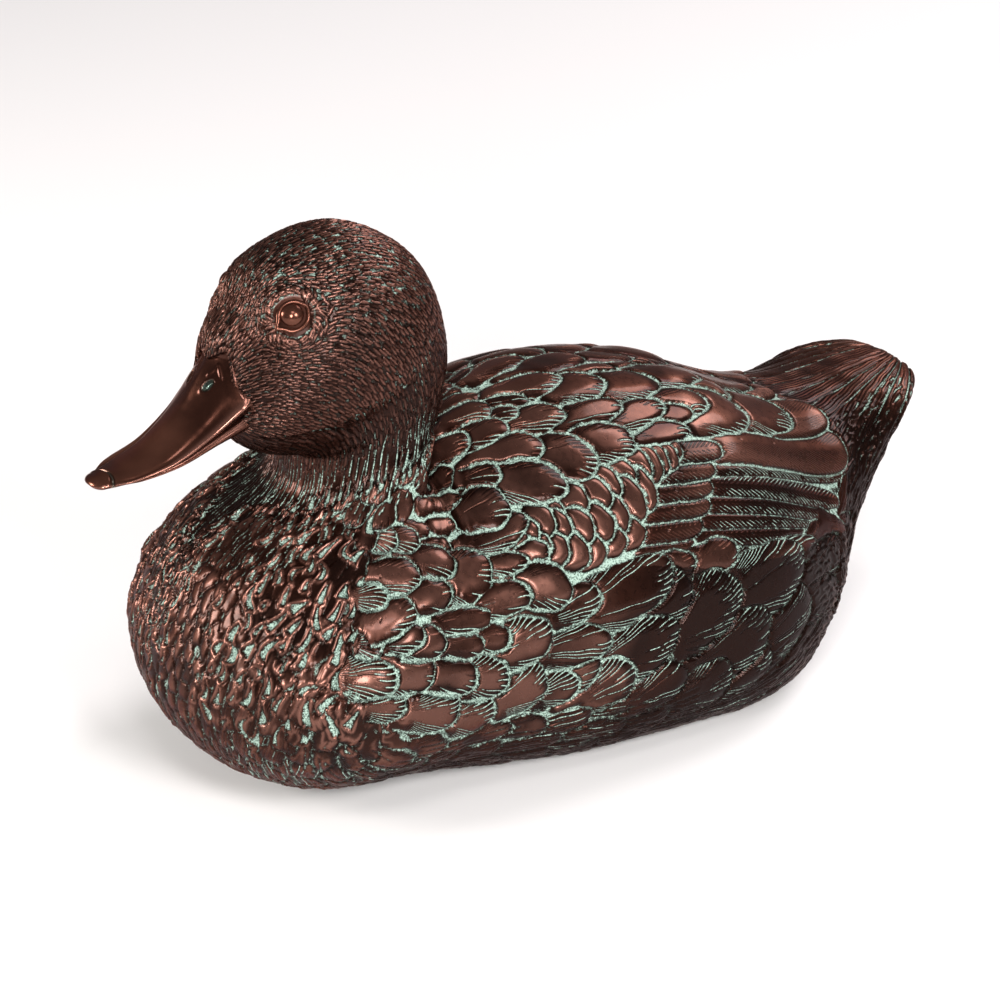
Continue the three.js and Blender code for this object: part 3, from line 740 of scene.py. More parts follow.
# Soft dents all over, and on the side of the breast long wavering ridges: a grain of chance
# drawn out along the lie of the feathers. A step along the lie is so many rows and columns.
DENT_DEPTH = 0.09         # mm
rough = np.random.default_rng(31)
dents = blurred(rough.normal(size=(ROWS, RING)), 4, 7)
relief += DENT_DEPTH / dents.std() * dents * body
hh, ss = (headward ** 2).sum(-1), (sideward ** 2).sum(-1)
hs = (headward * sideward).sum(-1)
lh, ls = (lie * headward).sum(-1), (lie * sideward).sum(-1)
whole = hh * ss - hs ** 2 + 1e-6 * hh * ss + 1e-12
row_step = np.clip((lh * ss - ls * hs) / whole, -6, 6)
column_step = np.clip((ls * hh - lh * hs) / whole, -6, 6)
grain = blurred(rough.normal(size=(ROWS, RING)), 1, 3)
row_of, column_of = np.indices((ROWS, RING))
drawn = np.zeros((ROWS, RING))
for k in range(-6, 7):
    drawn += grain[np.clip(row_of + np.round(k * 0.9 * row_step).astype(int), 0, ROWS - 1),
                   (column_of + np.round(k * 0.9 * column_step).astype(int)) % RING]
drawn = blurred(drawn, 1, 1) / drawn[560:800].std()      # by its spread over the breast
runny = np.clip(1.6 * qualities["runny"], 0, 1) * body
relief += runny * (0.55 * np.exp(-((drawn - 0.3) / 0.3) ** 2) - 0.5 * ease(-drawn, 0.9, 1.6))


# THE CHEEKS, THE FOREHEAD AND THE EYE SOCKETS. The broad forms that go under or over the
# drawing: the fold below the cheek, the swelling over the bill and at its sides, and the
# sunk ring round each eye. The relief is thinner where the form turns in sharply.
fold = distance_to(CHEEK_FOLD, beside)
fold_shown = ease(Y, -118, -106) * ease(Y, -44, -68)
form_relief = -0.45 * fold_shown * np.exp(-(fold / 3.4) ** 2)
cheek_side = ease(stations_here - head_edge, -0.7, 0.7)
form_relief += (1.5 * cheek_side - 0.85) * fold_shown * np.exp(-(fold / 9) ** 2)
form_relief += 0.8 * blurred(wing_zone.astype(float), 4, 4)
tight = ease(((blurred(skin, 14, 22) - skin) * outward).sum(-1), 0.5, 2.2)
relief = relief * (1 - 0.65 * tight * (stations_here > 7)) + form_relief
FOREHEAD_LOBE, MUZZLE = np.array([0, -119.5, 164.0]), np.array([0, -119.5, 153.0])
lobe = (((beside - FOREHEAD_LOBE) / [7.5, 9, 8]) ** 2).sum(-1)
muzzle = (((beside - MUZZLE) / [19, 9, 21]) ** 2).sum(-1)
swell = (4.6 * np.exp(-muzzle ** 2) + 2.8 * np.exp(-lobe ** 1.5)) * (station[:, None] > 17.2)
skin = skin + swell[..., None] * np.array([0, -1.0, -0.12])
socket = np.linalg.norm(beside - EYE, axis=-1)
relief -= 0.9 * np.exp(-(socket / 6.5) ** 4) - 0.3 * np.exp(-((socket - 8.6) / 1.2) ** 2)
verdigris = np.maximum(verdigris, 0.55 * np.exp(-((socket - 7.2) / 0.5) ** 2))
barb_cut = barb_cut * ease(socket, 6.4, 8.0)


# THE PATINA, WITH PAINTED LIGHT AND SHADE. Green verdigris is left in the hollows, most where
# they are narrow and deep, and the high places are worn bright; on the head's strokes, the lips
# of the breast pits, the tertials and the tail fan that brightness is painted highlight and
# sheen.
# Painted shade darkens the hollows, and low on the flanks and under the tail both green and
# brightness are less and the bronze is painted nearly black as shade.
hollow = blurred(relief, 3, 3) - relief
wide_hollow = blurred(relief, 9, 9) - relief
on_top = ease(Z, 160, 190)
kept = (1 - 0.45 * np.clip(melt, 0, 1) - head * (0.44 - 0.29 * on_top) - 0.65 * neck
        + 0.35 * fold_shown * np.exp(-(fold / 5) ** 2))
deep = np.where(head, ease(hollow, 0.05, 0.22), ease(hollow, 0.08, 0.42))
verdigris = verdigris + kept * (0.9 * deep + 0.35 * ease(wide_hollow, 0.2, 0.8))
verdigris = np.clip(verdigris, 0, 1)
on_fan = ease(Y, 105, 130)
# Painted shade: low on the flanks towards the rear, low on the body and low on the tail fan the
# colour is darkened as if in shadow, and the green and the barbs are fainter there; less so on
# the wing.
shade = ease(Y, -20, 22) * ease(Z, 94, 78) + 0.8 * ease(Z, 38, 12) * (Y > -100)
shade = np.clip(shade * (1 - 0.75 * wing_zone) + 0.3 * on_fan * ease(Z, 92, 84), 0, 1)
mottled = blurred(rough.normal(size=(ROWS, RING)), 2, 3)
verdigris += 0.12 * ease(mottled / mottled.std(), 0.2, 1.6) * on_fan
drawn_on = head | neck
# Painted highlight on the ridges of the head's strokes, painted lighter towards the crown and
# darker on the cheeks; on the neck the ridges are only a little brighter.
stroke_highlight = np.where(head, 1.0 + 0.5 * ease(Z, 150, 178), 0.15 + 0.4 * fineness)
on_tertials = wing_zone & (share_up > 0.62) & (stations_here < 5.3)
# The high places are worn bright; the same value carries the painted highlights and sheen added
# below.
rub_and_highlight = np.where(drawn_on, ease(-hollow, 0.02, 0.2) * stroke_highlight, ease(-wide_hollow, 0.0, 0.7))
# Painted highlight on the raised lips round the breast pits.
rub_and_highlight += 0.8 * np.clip(melt, 0, 1) * ease(-hollow, 0.1, 0.4)
# Painted sheen: the tertials and the tail fan are painted brighter, as if catching the light from
# above.
rub_and_highlight += 0.5 * on_tertials + 0.1 * on_fan
# Painted shade: the hollows are painted darker, most among the strokes of the head and neck.
hollow_shade = np.where(drawn_on, 0.9 * ease(hollow, -0.02, 0.12), 0.5 * ease(wide_hollow, 0.1, 0.6))
# The bronze colour's one value: worn bright and painted highlight above zero, painted shade below
# it.
wear_and_painted_light = np.clip(rub_and_highlight * (1 - shade) - 0.9 * shade - hollow_shade, -1, 2)
verdigris *= (1 - 0.45 * shade) * (1 - 0.1 * body)
barb_cut *= 1 - 0.35 * shade
verdigris = blurred(verdigris, 1, 1) * 0.5 + verdigris * 0.5
soften = np.where(drawn_on, 0.0, 0.4)
relief = relief * (1 - soften) + blurred(relief, 1, 1) * soften

# Where the bill's root covers the face the clay is pressed back out of its way.
PRESSED_BACK = 4.5        # mm
ROOT_EDGE = np.array([[90, 0, 160.6], [74, 3.2, 162.2], [60, 6.6, 164.2], [52, 8.6, 165.2],
                      [45, 9.6, 163.6], [36, 10.8, 159.5], [22, 13.2, 153.0], [8, 16.2, 147.6],
                      [-2, 18.2, 144.8], [-16, 17.0, 142.4], [-90, 0, 140]],
                     float)    # angle, x, z on the left side
edge_line = [(0.92 * x - 0.2, 151 + 0.92 * (z - 151)) for _, x, z in ROOT_EDGE[:-2]]
edge_line += [(11, 138), (0, 137)]
behind_bill = within(edge_line, np.abs(X), Z) & (Y < -100)
behind_bill = ease(blurred(behind_bill.astype(float), 1, 2), 0.6, 1.0)
skin = skin + PRESSED_BACK * behind_bill[..., None] * np.array([0, 1.0, 0])

MM = 0.001                # the scene is in metres
modelled = (skin + outward * relief[..., None]) * MM
modelled[..., 2] = np.maximum(modelled[..., 2], 0)
facing_out = unit(np.cross((np.roll(modelled, -1, 1) - np.roll(modelled, 1, 1)),
                           np.gradient(modelled, axis=0)))
facing_out[0], facing_out[-1] = facing_out[0].mean(0), facing_out[-1].mean(0)
facing_out = unit(facing_out)


# THE BRONZE SKIN. One cast skin carries all the plumage. It is dark brown bronze, worn
# bright on the high places, with painted highlight, sheen and shade in its colour, and with
# green verdigris left in every hollow and engraved line.
def node(tree, kind, settings=None, **inputs):
    """A shader node with its settings, and its inputs joined to sockets or given values."""
    made = tree.nodes.new(kind)
    for name, value in (settings or {}).items():
        setattr(made, name, value)
    for name, value in inputs.items():
        socket = made.inputs[int(name[1:])] if name[1:].isdigit() else \
            made.inputs[name.replace("_", " ")]
        if isinstance(value, bpy.types.NodeSocket):
            tree.links.new(value, socket)
        else:
            socket.default_value = value
    return made


def maths(tree, operation, first, second=0.0, third=0.0):
    """A sum on sockets or numbers."""
    return node(tree, "ShaderNodeMath", dict(operation=operation), i0=first, i1=second,
                i2=third).outputs[0]


def eased(tree, value, low, high, start=0.0, end=1.0):
    """A value eased from start, where it is low, to end, where it is high."""
    made = node(tree, "ShaderNodeMapRange", dict(interpolation_type="SMOOTHSTEP"), i0=value)
    for k, number in enumerate((low, high, start, end)):
        made.inputs[1 + k].default_value = number
    return made.outputs[0]


def mixed(tree, share, first, second):
    """One colour, with a share of another over it."""
    made = node(tree, "ShaderNodeMix", dict(data_type="RGBA"))
    for index, value in ((0, share), (6, first), (7, second)):
        if isinstance(value, bpy.types.NodeSocket):
            tree.links.new(value, made.inputs[index])
        else:
            made.inputs[index].default_value = value
    return made.outputs[2]


def speckle(tree, scale):
    """Noise in the metal itself, at so many specks to the metre."""
    place = node(tree, "ShaderNodeTexCoord").outputs["Object"]
    return node(tree, "ShaderNodeTexNoise", Vector=place, Scale=scale, Detail=3.0,
                Roughness=0.5, Distortion=0.0).outputs[0]


def attribute(tree, name):
    """One of the values kept on the skin."""
    return node(tree, "ShaderNodeAttribute", dict(attribute_name=name)).outputs["Fac"]


DARK_BRONZE = (0.010, 0.0038, 0.0027, 1)
BROWN_BRONZE = (0.031, 0.0105, 0.0068, 1)
RUBBED_HIGHLIGHT_BRONZE = (0.23, 0.106, 0.080, 1)
FILED_BRONZE = (0.125, 0.048, 0.031, 1)
WORN_GREEN = (0.12, 0.20, 0.17, 1)
DEEP_GREEN = (0.030, 0.060, 0.050, 1)
MINT_GREEN = (0.30, 0.42, 0.36, 1)


def bronze(name, feathered):
    """Browned bronze under a thin wax: patinated for the plumage, or filed smooth."""
    made = bpy.data.materials.new(name)
    made.use_nodes = True
    tree = made.node_tree
    shader = tree.nodes["Principled BSDF"]
    broad, fine, grain = (speckle(tree, scale) for scale in (28.0, 420.0, 1900.0))
    shader.inputs["Specular Tint"].default_value = (0.45, 0.24, 0.18, 1)
    shader.inputs["Coat Weight"].default_value = 0.2
    shader.inputs["Coat Roughness"].default_value = 0.12
    shader.inputs["Coat IOR"].default_value = 1.34
    if feathered:
        run = maths(tree, "PINGPONG", attribute(tree, "barb_run"), 0.5)
        groove = eased(tree, run, 0.04, 0.17, 1.0, 0.0)
        cut = attribute(tree, "barb_cut")
        line = maths(tree, "MULTIPLY", groove, eased(tree, cut, 0.3, 0.85))
        line = maths(tree, "MULTIPLY", line, eased(tree, fine, 0.3, 0.5, 0.55, 1.0))
        rounded = maths(tree, "MULTIPLY", eased(tree, run, 0.0, 0.36, 1.0, 0.0),
                        eased(tree, cut, 0.0, 0.3))
        green = attribute(tree, "verdigris")
        rub_light_and_shade = attribute(tree, "wear_and_painted_light")
        loose = maths(tree, "MULTIPLY_ADD", fine, 0.6, maths(tree, "MULTIPLY", grain, 1.1))
        worn = maths(tree, "ADD", maths(tree, "MULTIPLY", green, 1.1),
                     maths(tree, "MULTIPLY", line, 1.2))
        worn = maths(tree, "ADD", worn, maths(tree, "SUBTRACT", loose, 0.95))
        patina = eased(tree, worn, 0.30, 0.80)
        metal = mixed(tree, eased(tree, broad, 0.3, 0.7), DARK_BRONZE, BROWN_BRONZE)
        # Painted shade: where the value is below zero the metal is painted towards nearly black.
        metal = mixed(tree, eased(tree, rub_light_and_shade, 0.0, -1.0), metal, DARK_BRONZE)
        # Worn bright high places, with painted highlight and sheen over them.
        metal = mixed(tree, maths(tree, "MULTIPLY", rub_light_and_shade, 0.38), metal, RUBBED_HIGHLIGHT_BRONZE)
        coat = mixed(tree, maths(tree, "MULTIPLY", eased(tree, worn, 0.35, 0.9),
                                 eased(tree, grain, 0.40, 0.56, 0.3, 1.0)),
                     DEEP_GREEN, MINT_GREEN)
        colour = mixed(tree, patina, metal, coat)
        tree.links.new(colour, shader.inputs["Base Color"])
        tree.links.new(maths(tree, "SUBTRACT", 0.82, maths(tree, "MULTIPLY", patina, 0.8)),
                       shader.inputs["Metallic"])
        dull = maths(tree, "ADD", eased(tree, fine, 0.2, 0.8, 0.24, 0.36),
                     maths(tree, "MULTIPLY", patina, 0.45))
        tree.links.new(dull, shader.inputs["Roughness"])
        height = maths(tree, "SUBTRACT", maths(tree, "MULTIPLY", fine, 0.25),
                       maths(tree, "MULTIPLY", rounded, 1.6))
        bump = node(tree, "ShaderNodeBump", Height=height, Strength=0.8, Distance=0.00022)
        tree.links.new(bump.outputs[0], shader.inputs["Normal"])
    else:
        metal = mixed(tree, eased(tree, broad, 0.3, 0.7), BROWN_BRONZE, FILED_BRONZE)
        # Worn bright, and along the bill's rim a painted highlight.
        metal = mixed(tree, attribute(tree, "wear_and_painted_light"), metal, RUBBED_HIGHLIGHT_BRONZE)
        metal = mixed(tree, attribute(tree, "verdigris"), metal, WORN_GREEN)
        tree.links.new(metal, shader.inputs["Base Color"])
        shader.inputs["Metallic"].default_value = 0.82
        tree.links.new(eased(tree, fine, 0.2, 0.8, 0.16, 0.26), shader.inputs["Roughness"])
    return made


plumage_bronze = bronze("plumage_bronze", True)


def grid_piece(name, points, normals, values, material):
    """A grid pushed to its place: points in metres, each with its normal and its values."""
    rows, columns = points.shape[:2]
    bpy.ops.object.select_all(action="DESELECT")
    bpy.ops.mesh.primitive_grid_add(x_subdivisions=columns - 1, y_subdivisions=rows - 1, size=2)
    piece = bpy.context.object
    piece.name = piece.data.name = name
    mesh = piece.data
    mesh.vertices.foreach_set("co", points.astype(np.float32).ravel())
    for value_name, value in values.items():
        layer = mesh.attributes.new(value_name, "FLOAT", "POINT")
        layer.data.foreach_set("value", value.astype(np.float32).ravel())
    wide = np.linalg.norm(np.diff(points, axis=1), axis=-1)
    across = np.concatenate([np.zeros((rows, 1)), np.cumsum(wide, 1)], 1)
    across /= across[:, -1:] + 1e-9
    high = np.linalg.norm(np.diff(points, axis=0), axis=-1).mean(1)
    upward = np.concatenate([[0], np.cumsum(high)])
    flat = np.stack([across, np.broadcast_to((upward / upward[-1])[:, None], across.shape)], -1)
    corner = np.empty(len(mesh.loops), np.int32)
    mesh.loops.foreach_get("vertex_index", corner)
    unwrap = mesh.uv_layers[0] if mesh.uv_layers else mesh.uv_layers.new()
    unwrap.name = "OFBake"
    unwrap.data.foreach_set("uv", flat.reshape(-1, 2)[corner].astype(np.float32).ravel())
    mesh.materials.append(material)
    kept_normals = mesh.attributes.new("facing", "FLOAT_VECTOR", "POINT")
    kept_normals.data.foreach_set("vector", normals.astype(np.float32).ravel())
    mesh.update()
    bpy.ops.object.mode_set(mode="EDIT")
    bpy.ops.mesh.select_all(action="SELECT")
    bpy.ops.mesh.remove_doubles(threshold=0.000002)
    bpy.ops.object.mode_set(mode="OBJECT")
    bpy.ops.object.shade_smooth()
    facing = np.empty(len(mesh.vertices) * 3, np.float32)
    mesh.attributes["facing"].data.foreach_get("vector", facing)
    mesh.attributes.remove(mesh.attributes["facing"])
    mesh.normals_split_custom_set_from_vertices(facing.reshape(-1, 3))
    return piece


# The skin is parted into four sheets on each side: name, first row, last row, and the solids
# that it covers.
BLOCKS = [("rear", 0, 272, ("tail",)), ("side", 272, 544, ("trunk", "wing_left", "wing_right")),
          ("breast", 544, 812, ("breast", "neck")), ("head", 812, ROWS - 1, ("head",))]
for block, first, last, nodes in BLOCKS:
    for side, columns in (("left", np.arange(0, BACKBONE + 1)),
                          ("right", np.arange(BACKBONE, RING + 1) % RING)):
        part = np.ix_(np.arange(first, last + 1), columns)
        piece = grid_piece(f"plumage_{block}_{side}", modelled[part], facing_out[part],
                           dict(verdigris=verdigris[part], wear_and_painted_light=wear_and_painted_light[part],
                                barb_run=barb_run[part], barb_cut=barb_cut[part]),
                           plumage_bronze)
        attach(piece, "root")
        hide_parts(*nodes)


# THE BILL. Cast with the head and filed smooth, in two halves: a broad upper half with a
# rolled rim, nostrils and a nail at its tip, and a thin lower half tucked in under it. Its
# root laps over the face as a thin plate with a corner standing up at each side.
UPPER_BILL = np.array([
    cut_through([-112.4, 166.8], [-106, 145], 17.5, 0.3, 1.45, 2.4),    # root
    cut_through([-125.5, 158.4], [-118, 142], 17.4, 0.28, 1.42, 2.4),   # nostrils
    cut_through([-137.2, 143.0], [-131, 135.2], 14.3, 0.28, 1.65, 2.4), # saddle
    cut_through([-148, 133.2], [-144, 129.2], 12.3, 0.3, 2.0, 2.4),     # waist
    cut_through([-159, 128.9], [-157.5, 125.9], 10.4, 0.35, 2.1, 2.2),  # spoon
    cut_through([-165.5, 127.7], [-165, 124.2], 7.6, 0.4, 2, 2.2),      # nail
    cut_through([-168.6, 126.8], [-168.3, 123.2], 5.6, 0.5, 2, 2)])     # tip
LOWER_BILL = np.array([
    cut_through([-106, 148.5], [-102, 137.5], 14.5, 0.5, 2.2, 2.2),     # root
    cut_through([-118, 145], [-113, 135.5], 15.2, 0.5, 2.2, 2.2),       # chin
    cut_through([-131, 137.4], [-128, 131], 12.6, 0.5, 2.2, 2.2),       # saddle
    cut_through([-144, 130], [-142, 126.4], 10.4, 0.5, 2.2, 2.2),       # waist
    cut_through([-157, 127], [-156, 124.3], 8.6, 0.5, 2.2, 2.2),        # spoon
    cut_through([-163, 126], [-162.5, 124], 6, 0.5, 2, 2)])             # tip
PLATE = 0.8               # how far the root stands off the face
BILL_COLUMNS = 110


def face_at(x, z):
    """How far forward the face stands at a place given from in front, in mm."""
    gap = np.hypot(modelled[..., 0] / MM - x, modelled[..., 2] / MM - z)
    near = (gap < 2.2) & (modelled[..., 1] < -0.1) & (behind_bill < 0.05)
    return float(np.median(modelled[..., 1][near])) / MM if near.any() else np.nan


def mirrored(half_rows):
    """Whole rings, out of rows that run from the bottom to the top of the left side."""
    return np.concatenate([half_rows, (half_rows * [-1, 1, 1])[:, -2::-1]], 1)


angle = np.radians(np.linspace(-90, 90, BILL_COLUMNS + 1))
degrees = np.degrees(angle)
steps = np.concatenate([np.linspace(0, 1, 44)[:-1] ** 1.1, np.linspace(1, 5, 150)[:-1],
                        np.linspace(5, 6, 24)])
upper = drawn_sections(form_at(steps, UPPER_BILL), angle)


def eased_line(line, passes):
    """A line with its corners worn down and its ends kept."""
    for _ in range(passes):
        line[1:-1] = (line[2:] + line[1:-1] * 2 + line[:-2]) / 4
    return line


# The root follows the face it is laid on, and is brought in straight below the gape.
GAPE_ANGLE, CHIN_Y = -10, -116        # degrees round the bill, and mm
root = np.stack([np.interp(degrees, ROOT_EDGE[::-1, 0], ROOT_EDGE[::-1, k]) for k in (1, 2)], -1)
root = eased_line(root, 2)
root_y = np.array([face_at(x, z) for x, z in root])
known = ~np.isnan(root_y)
root_y = np.interp(degrees, degrees[known], root_y[known])
gape_y = root_y[np.argmin(np.abs(degrees - GAPE_ANGLE))]
root_y = np.where(degrees < GAPE_ANGLE,
                  np.interp(degrees, [-90, GAPE_ANGLE], [CHIN_Y, gape_y]), root_y)
root_y = eased_line(root_y, 6)
proud = np.interp(degrees, [20, 45], [PLATE, 0.25])
root = np.stack([root[:, 0], root_y - proud, root[:, 1]], -1)
warp = np.clip(1 - steps / 1.1, 0, 1)[:, None, None] ** 1.6
upper = upper + (root - upper[0]) * warp
tucked = upper[0] + np.array([0, 1, 0]) * np.linspace(6, 0.5, 5)[:, None, None]
tucked = (tucked - [0, 0, 150]) * np.linspace(0.86, 0.99, 5)[:, None, None] + [0, 0, 150]
upper = np.concatenate([closing_rows(tucked[0], [0, 2, 0], 6)[::-1], tucked, upper,
                        closing_rows(upper[-1], [0, -3.2, -0.3], 14)])
lower = drawn_sections(form_at(np.linspace(0, 5, 120), LOWER_BILL), angle)
lower = np.concatenate([closing_rows(lower[0], [0, 2, 0], 6)[::-1], lower,
                        closing_rows(lower[-1], [0, -0.6, 0], 6)])


def faced(points):
    """The way out of a grid of points."""
    return unit(np.cross(np.gradient(points, axis=1), np.gradient(points, axis=0)))


def bill_piece(name, half_rows, carve, material):
    """Closes a half of the bill round, presses its detail in and makes the mesh."""
    whole = mirrored(half_rows)
    out = faced(whole)
    whole = whole + out * carve(whole, out)[..., None]
    out = faced(whole)
    out[:, 0] = out[:, -1] = unit(out[:, 0] + out[:, -1])
    out[0], out[-1] = unit(out[0].mean(0)), unit(out[-1].mean(0))
    piece = grid_piece(name, whole * MM, out, hollows_of(whole), material)
    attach(piece, "root")
    return piece


NOSTRIL = np.array([5.6, -129.0, 152.0])
NOSTRIL_BROW = np.array([[3.4, -127.3, 154.8], [5.0, -124.6, 158.0], [8.2, -125.5, 154.6]])
NOSTRIL_ALONG = unit(np.array([0.15, 0.85, 0.62]))
NOSTRIL_UP = unit(np.array([-0.55, -0.45, 0.7]))
NOSTRIL_LENGTH, NOSTRIL_HEIGHT = 2.5, 1.2             # from its middle to its edge
NAIL_Y, NAIL_WIDTH, NAIL_LENGTH = -169.5, 7.8, 4.4    # from its middle to its edge
NAIL_ROOT_Y = -158
RIM_START, RIM_FULL = -118.5, -123


def left_side(points):
    """The points, with those of the right side brought over to the left."""
    return np.stack([np.abs(points[..., 0]), points[..., 1], points[..., 2]], -1)


def across_nostril(points):
    """Distance from the middle of a nostril, which is 1 at its edge."""
    away = left_side(points) - NOSTRIL
    away = np.stack([away @ NOSTRIL_ALONG / NOSTRIL_LENGTH,
                     away @ NOSTRIL_UP / NOSTRIL_HEIGHT], -1)
    return np.linalg.norm(away, axis=-1)


def across_nail(points):
    """Distance from the middle of the nail, which is 1 at its edge."""
    return np.hypot(points[..., 0] / NAIL_WIDTH, (points[..., 1] - NAIL_Y) / NAIL_LENGTH)


def round_bill(points, middle, width):
    """A band along the bill: its place is -90 below, 0 at the side and 90 on top."""
    column = np.arange(points.shape[1])
    degrees = np.abs(np.abs(column - BILL_COLUMNS) / BILL_COLUMNS - 1) * 180 - 90
    return np.exp(-((degrees - middle) / width) ** 2)


def upper_detail(points, out):
    """The rolled rim with a dished face inside it, the nostrils and the nail."""
    y = points[..., 1]
    shown = ease(y, RIM_START, RIM_FULL) * ease(y, -168, -160)
    depth = 1.1 * round_bill(points, 7, 8.5) * shown \
        - 0.45 * round_bill(points, 29, 9) * shown * ease(y, -120, -135)
    nostril = across_nostril(points)
    depth = depth + 0.2 * np.exp(-((nostril - 1.3) / 0.3) ** 2) - 1.6 * ease(nostril, 1.05, 0.6)
    brow = distance_to(NOSTRIL_BROW, left_side(points))
    depth = depth + 0.5 * np.exp(-(brow / 0.6) ** 2)
    nail = across_nail(points)
    raised_nail = 0.7 * ease(nail, 1.0, 0.8) - 0.75 * np.exp(-((nail - 1.06) / 0.1) ** 2)
    return depth + ease(out[..., 2], -0.2, 0.2) * (y < NAIL_ROOT_Y) * raised_nail


def lower_detail(points, out):
    """The line along which the bill closes."""
    return -0.45 * round_bill(points, 6, 6) * ease(points[..., 1], -112, -120)


def hollows_of(points):
    """Green in the nostrils and round the nail, none on the filed faces; a painted highlight
    along the rim.
    """
    y = points[..., 1]
    pit = 0.6 * ease(across_nostril(points), 1.1, 0.7)
    round_nail = 0.4 * np.exp(-((across_nail(points) - 1.06) / 0.08) ** 2) * (y < NAIL_ROOT_Y)
    # Painted highlight: a band along the bill's rim is painted bright.
    rim = round_bill(points, 10, 7) * ease(y, RIM_START, RIM_FULL)
    return dict(verdigris=np.maximum(pit, round_nail), wear_and_painted_light=0.8 * rim)


bill_bronze = bronze("bill_bronze", False)
upper_bill = bill_piece("bill_upper_cast", upper, upper_detail, bill_bronze)
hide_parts("bill_upper")
lower_bill = bill_piece("bill_lower_cast", lower, lower_detail, bill_bronze)
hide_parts("bill_lower")


# THE EYES. Each is a polished ball in a socket, with a thin raised lid round it that is
# drawn out to a point at the corner towards the bill.
EYE_RADIUS, LID_RADIUS, LID_THICKNESS = 0.0048, 0.0050, 0.0008
EYE_SEAT = np.array([0.0189, -0.1038, 0.1752])
LID_SINK = 0.0011         # how far the ring of the lid lies inside the face
TOWARDS_BILL = np.array([0, -1.0, -0.35])
eye_bronze = bronze("eye_bronze", False)
for side, sign in (("left", 1), ("right", -1)):
    seat = EYE_SEAT * [sign, 1, 1]
    eye_place = EYE * [sign * MM, MM, MM]
    nearest = ((modelled - eye_place) ** 2).sum(-1).argmin()
    axis = unit(blurred(outward, 12, 12).reshape(-1, 3)[nearest])
    bpy.ops.object.select_all(action="DESELECT")
    bpy.ops.mesh.primitive_uv_sphere_add(segments=64, ring_count=32, radius=EYE_RADIUS,
                                         location=seat)
    ball = bpy.context.object
    ball.name = ball.data.name = f"eyeball_{side}"
    bpy.ops.object.transform_apply(location=True, rotation=True, scale=True)
    bpy.ops.object.shade_smooth()
    ball.data.materials.append(eye_bronze)
    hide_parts(f"eye_{side}")

    bpy.ops.object.select_all(action="DESELECT")
    bpy.ops.mesh.primitive_torus_add(major_segments=128, minor_segments=24,
                                     major_radius=LID_RADIUS, minor_radius=LID_THICKNESS)
    lid = bpy.context.object
    lid.name = lid.data.name = f"eyelid_{side}"
    ring = np.empty(len(lid.data.vertices) * 3, np.float32)
    lid.data.vertices.foreach_get("co", ring)
    ring = ring.reshape(-1, 3).astype(float)
    around = np.arctan2(ring[:, 1], ring[:, 0])
    forward = unit(TOWARDS_BILL - (TOWARDS_BILL @ axis) * axis)
    upward = np.cross(axis, forward) * -sign
    front_corner = 0.30 * np.exp(-(around / 0.26) ** 2)
    back_corner = 0.10 * np.exp(-((np.abs(around) - np.pi) / 0.3) ** 2)
    drawn_long = 1 + front_corner + back_corner
    squash = 1 - 0.05 * np.sin(around) ** 2
    lid_points = eye_place - axis * LID_SINK + (ring[:, :1] * drawn_long[:, None]) * forward \
        + (ring[:, 1:2] * squash[:, None]) * upward + ring[:, 2:] * axis
    lid.data.vertices.foreach_set("co", lid_points.astype(np.float32).ravel())
    bpy.ops.object.mode_set(mode="EDIT")
    bpy.ops.mesh.select_all(action="SELECT")
    bpy.ops.mesh.normals_make_consistent(inside=False)
    bpy.ops.object.mode_set(mode="OBJECT")
    bpy.ops.object.shade_smooth()
    lid.data.materials.append(bill_bronze)
    for piece in (ball, lid):
        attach(piece, "root")


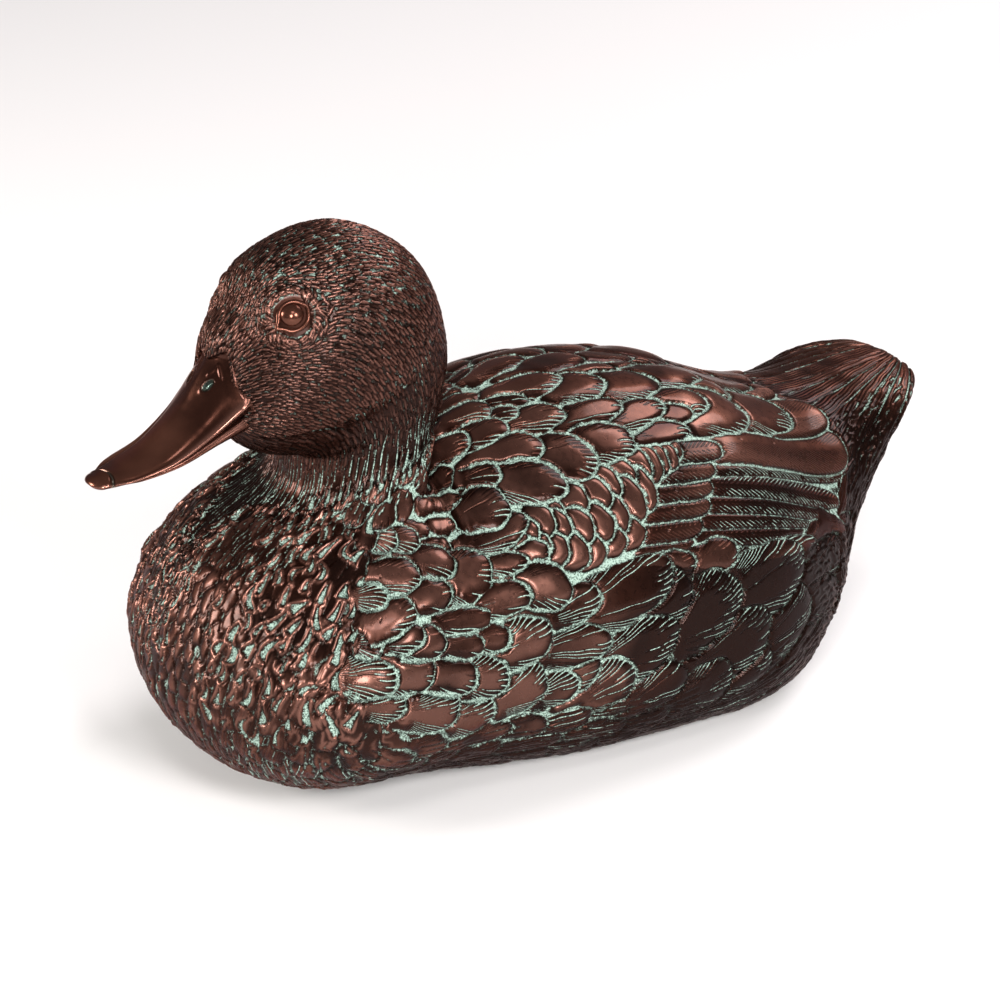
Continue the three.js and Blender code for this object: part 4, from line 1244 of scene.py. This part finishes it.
# THE STUDIO. A pale floor and five soft lights: a large one overhead from behind, one high
# up, one in front and one beside the duck's left, and a low one from its right. The camera
# looks down a little on its left front.
bpy.ops.object.select_all(action="DESELECT")
bpy.ops.mesh.primitive_plane_add(size=30, location=(0, 0, -0.0002))
floor = bpy.context.object
floor.name = "floor"
pale = bpy.data.materials.new("pale_floor")
pale.use_nodes = True
paint = pale.node_tree.nodes["Principled BSDF"]
paint.inputs["Base Color"].default_value = (0.75, 0.75, 0.75, 1)
paint.inputs["Roughness"].default_value = 0.9
floor.data.materials.append(pale)

world = bpy.data.worlds.new("studio")
world.use_nodes = True
sky = world.node_tree.nodes["Background"]
sky.inputs["Color"].default_value = (1.0, 0.98, 0.96, 1)
sky.inputs["Strength"].default_value = 0.28
bpy.context.scene.world = world


MIDDLE = (0, 0, 0.08)     # of the duck, which all the lights face


def soft_light(name, place, size, watts, colour):
    """A round lamp that faces the duck."""
    lamp = bpy.data.lights.new(name, "AREA")
    lamp.shape, lamp.size, lamp.energy, lamp.color = "DISK", size, watts, colour
    light = bpy.data.objects.new(name, lamp)
    bpy.context.collection.objects.link(light)
    from_to = np.array(MIDDLE) - np.array(place)
    light.location = place
    light.rotation_euler = (math.atan2(math.hypot(from_to[0], from_to[1]), -from_to[2]), 0,
                            math.atan2(from_to[1], from_to[0]) - math.pi / 2)


soft_light("overhead", (-0.2, 1.5, 1.5), 1.2, 32, (1, 0.94, 0.96))
soft_light("high", (0.85, -0.56, 1.25), 0.4, 5, (1, 0.95, 0.95))
soft_light("front", (1.2, -1.15, 0.72), 0.5, 27, (1, 0.97, 0.95))
soft_light("side", (1.25, -0.1, 0.75), 0.45, 18, (1, 0.97, 0.96))
soft_light("low_left", (-0.75, -1.1, 0.4), 0.4, 14, (1, 0.95, 0.9))

AZIMUTH, ELEVATION, DISTANCE, LENS = math.radians(55), math.radians(23.5), 1.3, 131.0
AIM = (0.0, -0.0073, 0.0784)
camera_data = bpy.data.cameras.new("camera")
camera_data.lens, camera_data.sensor_width = LENS, 36.0      # mm
camera = bpy.data.objects.new("camera", camera_data)
bpy.context.collection.objects.link(camera)
camera.location = (AIM[0] + DISTANCE * math.cos(ELEVATION) * math.sin(AZIMUTH),
                   AIM[1] - DISTANCE * math.cos(ELEVATION) * math.cos(AZIMUTH),
                   AIM[2] + DISTANCE * math.sin(ELEVATION))
camera.rotation_euler = (math.pi / 2 - ELEVATION, 0, AZIMUTH)
bpy.context.scene.camera = camera
bpy.context.scene.view_settings.view_transform = "Standard"
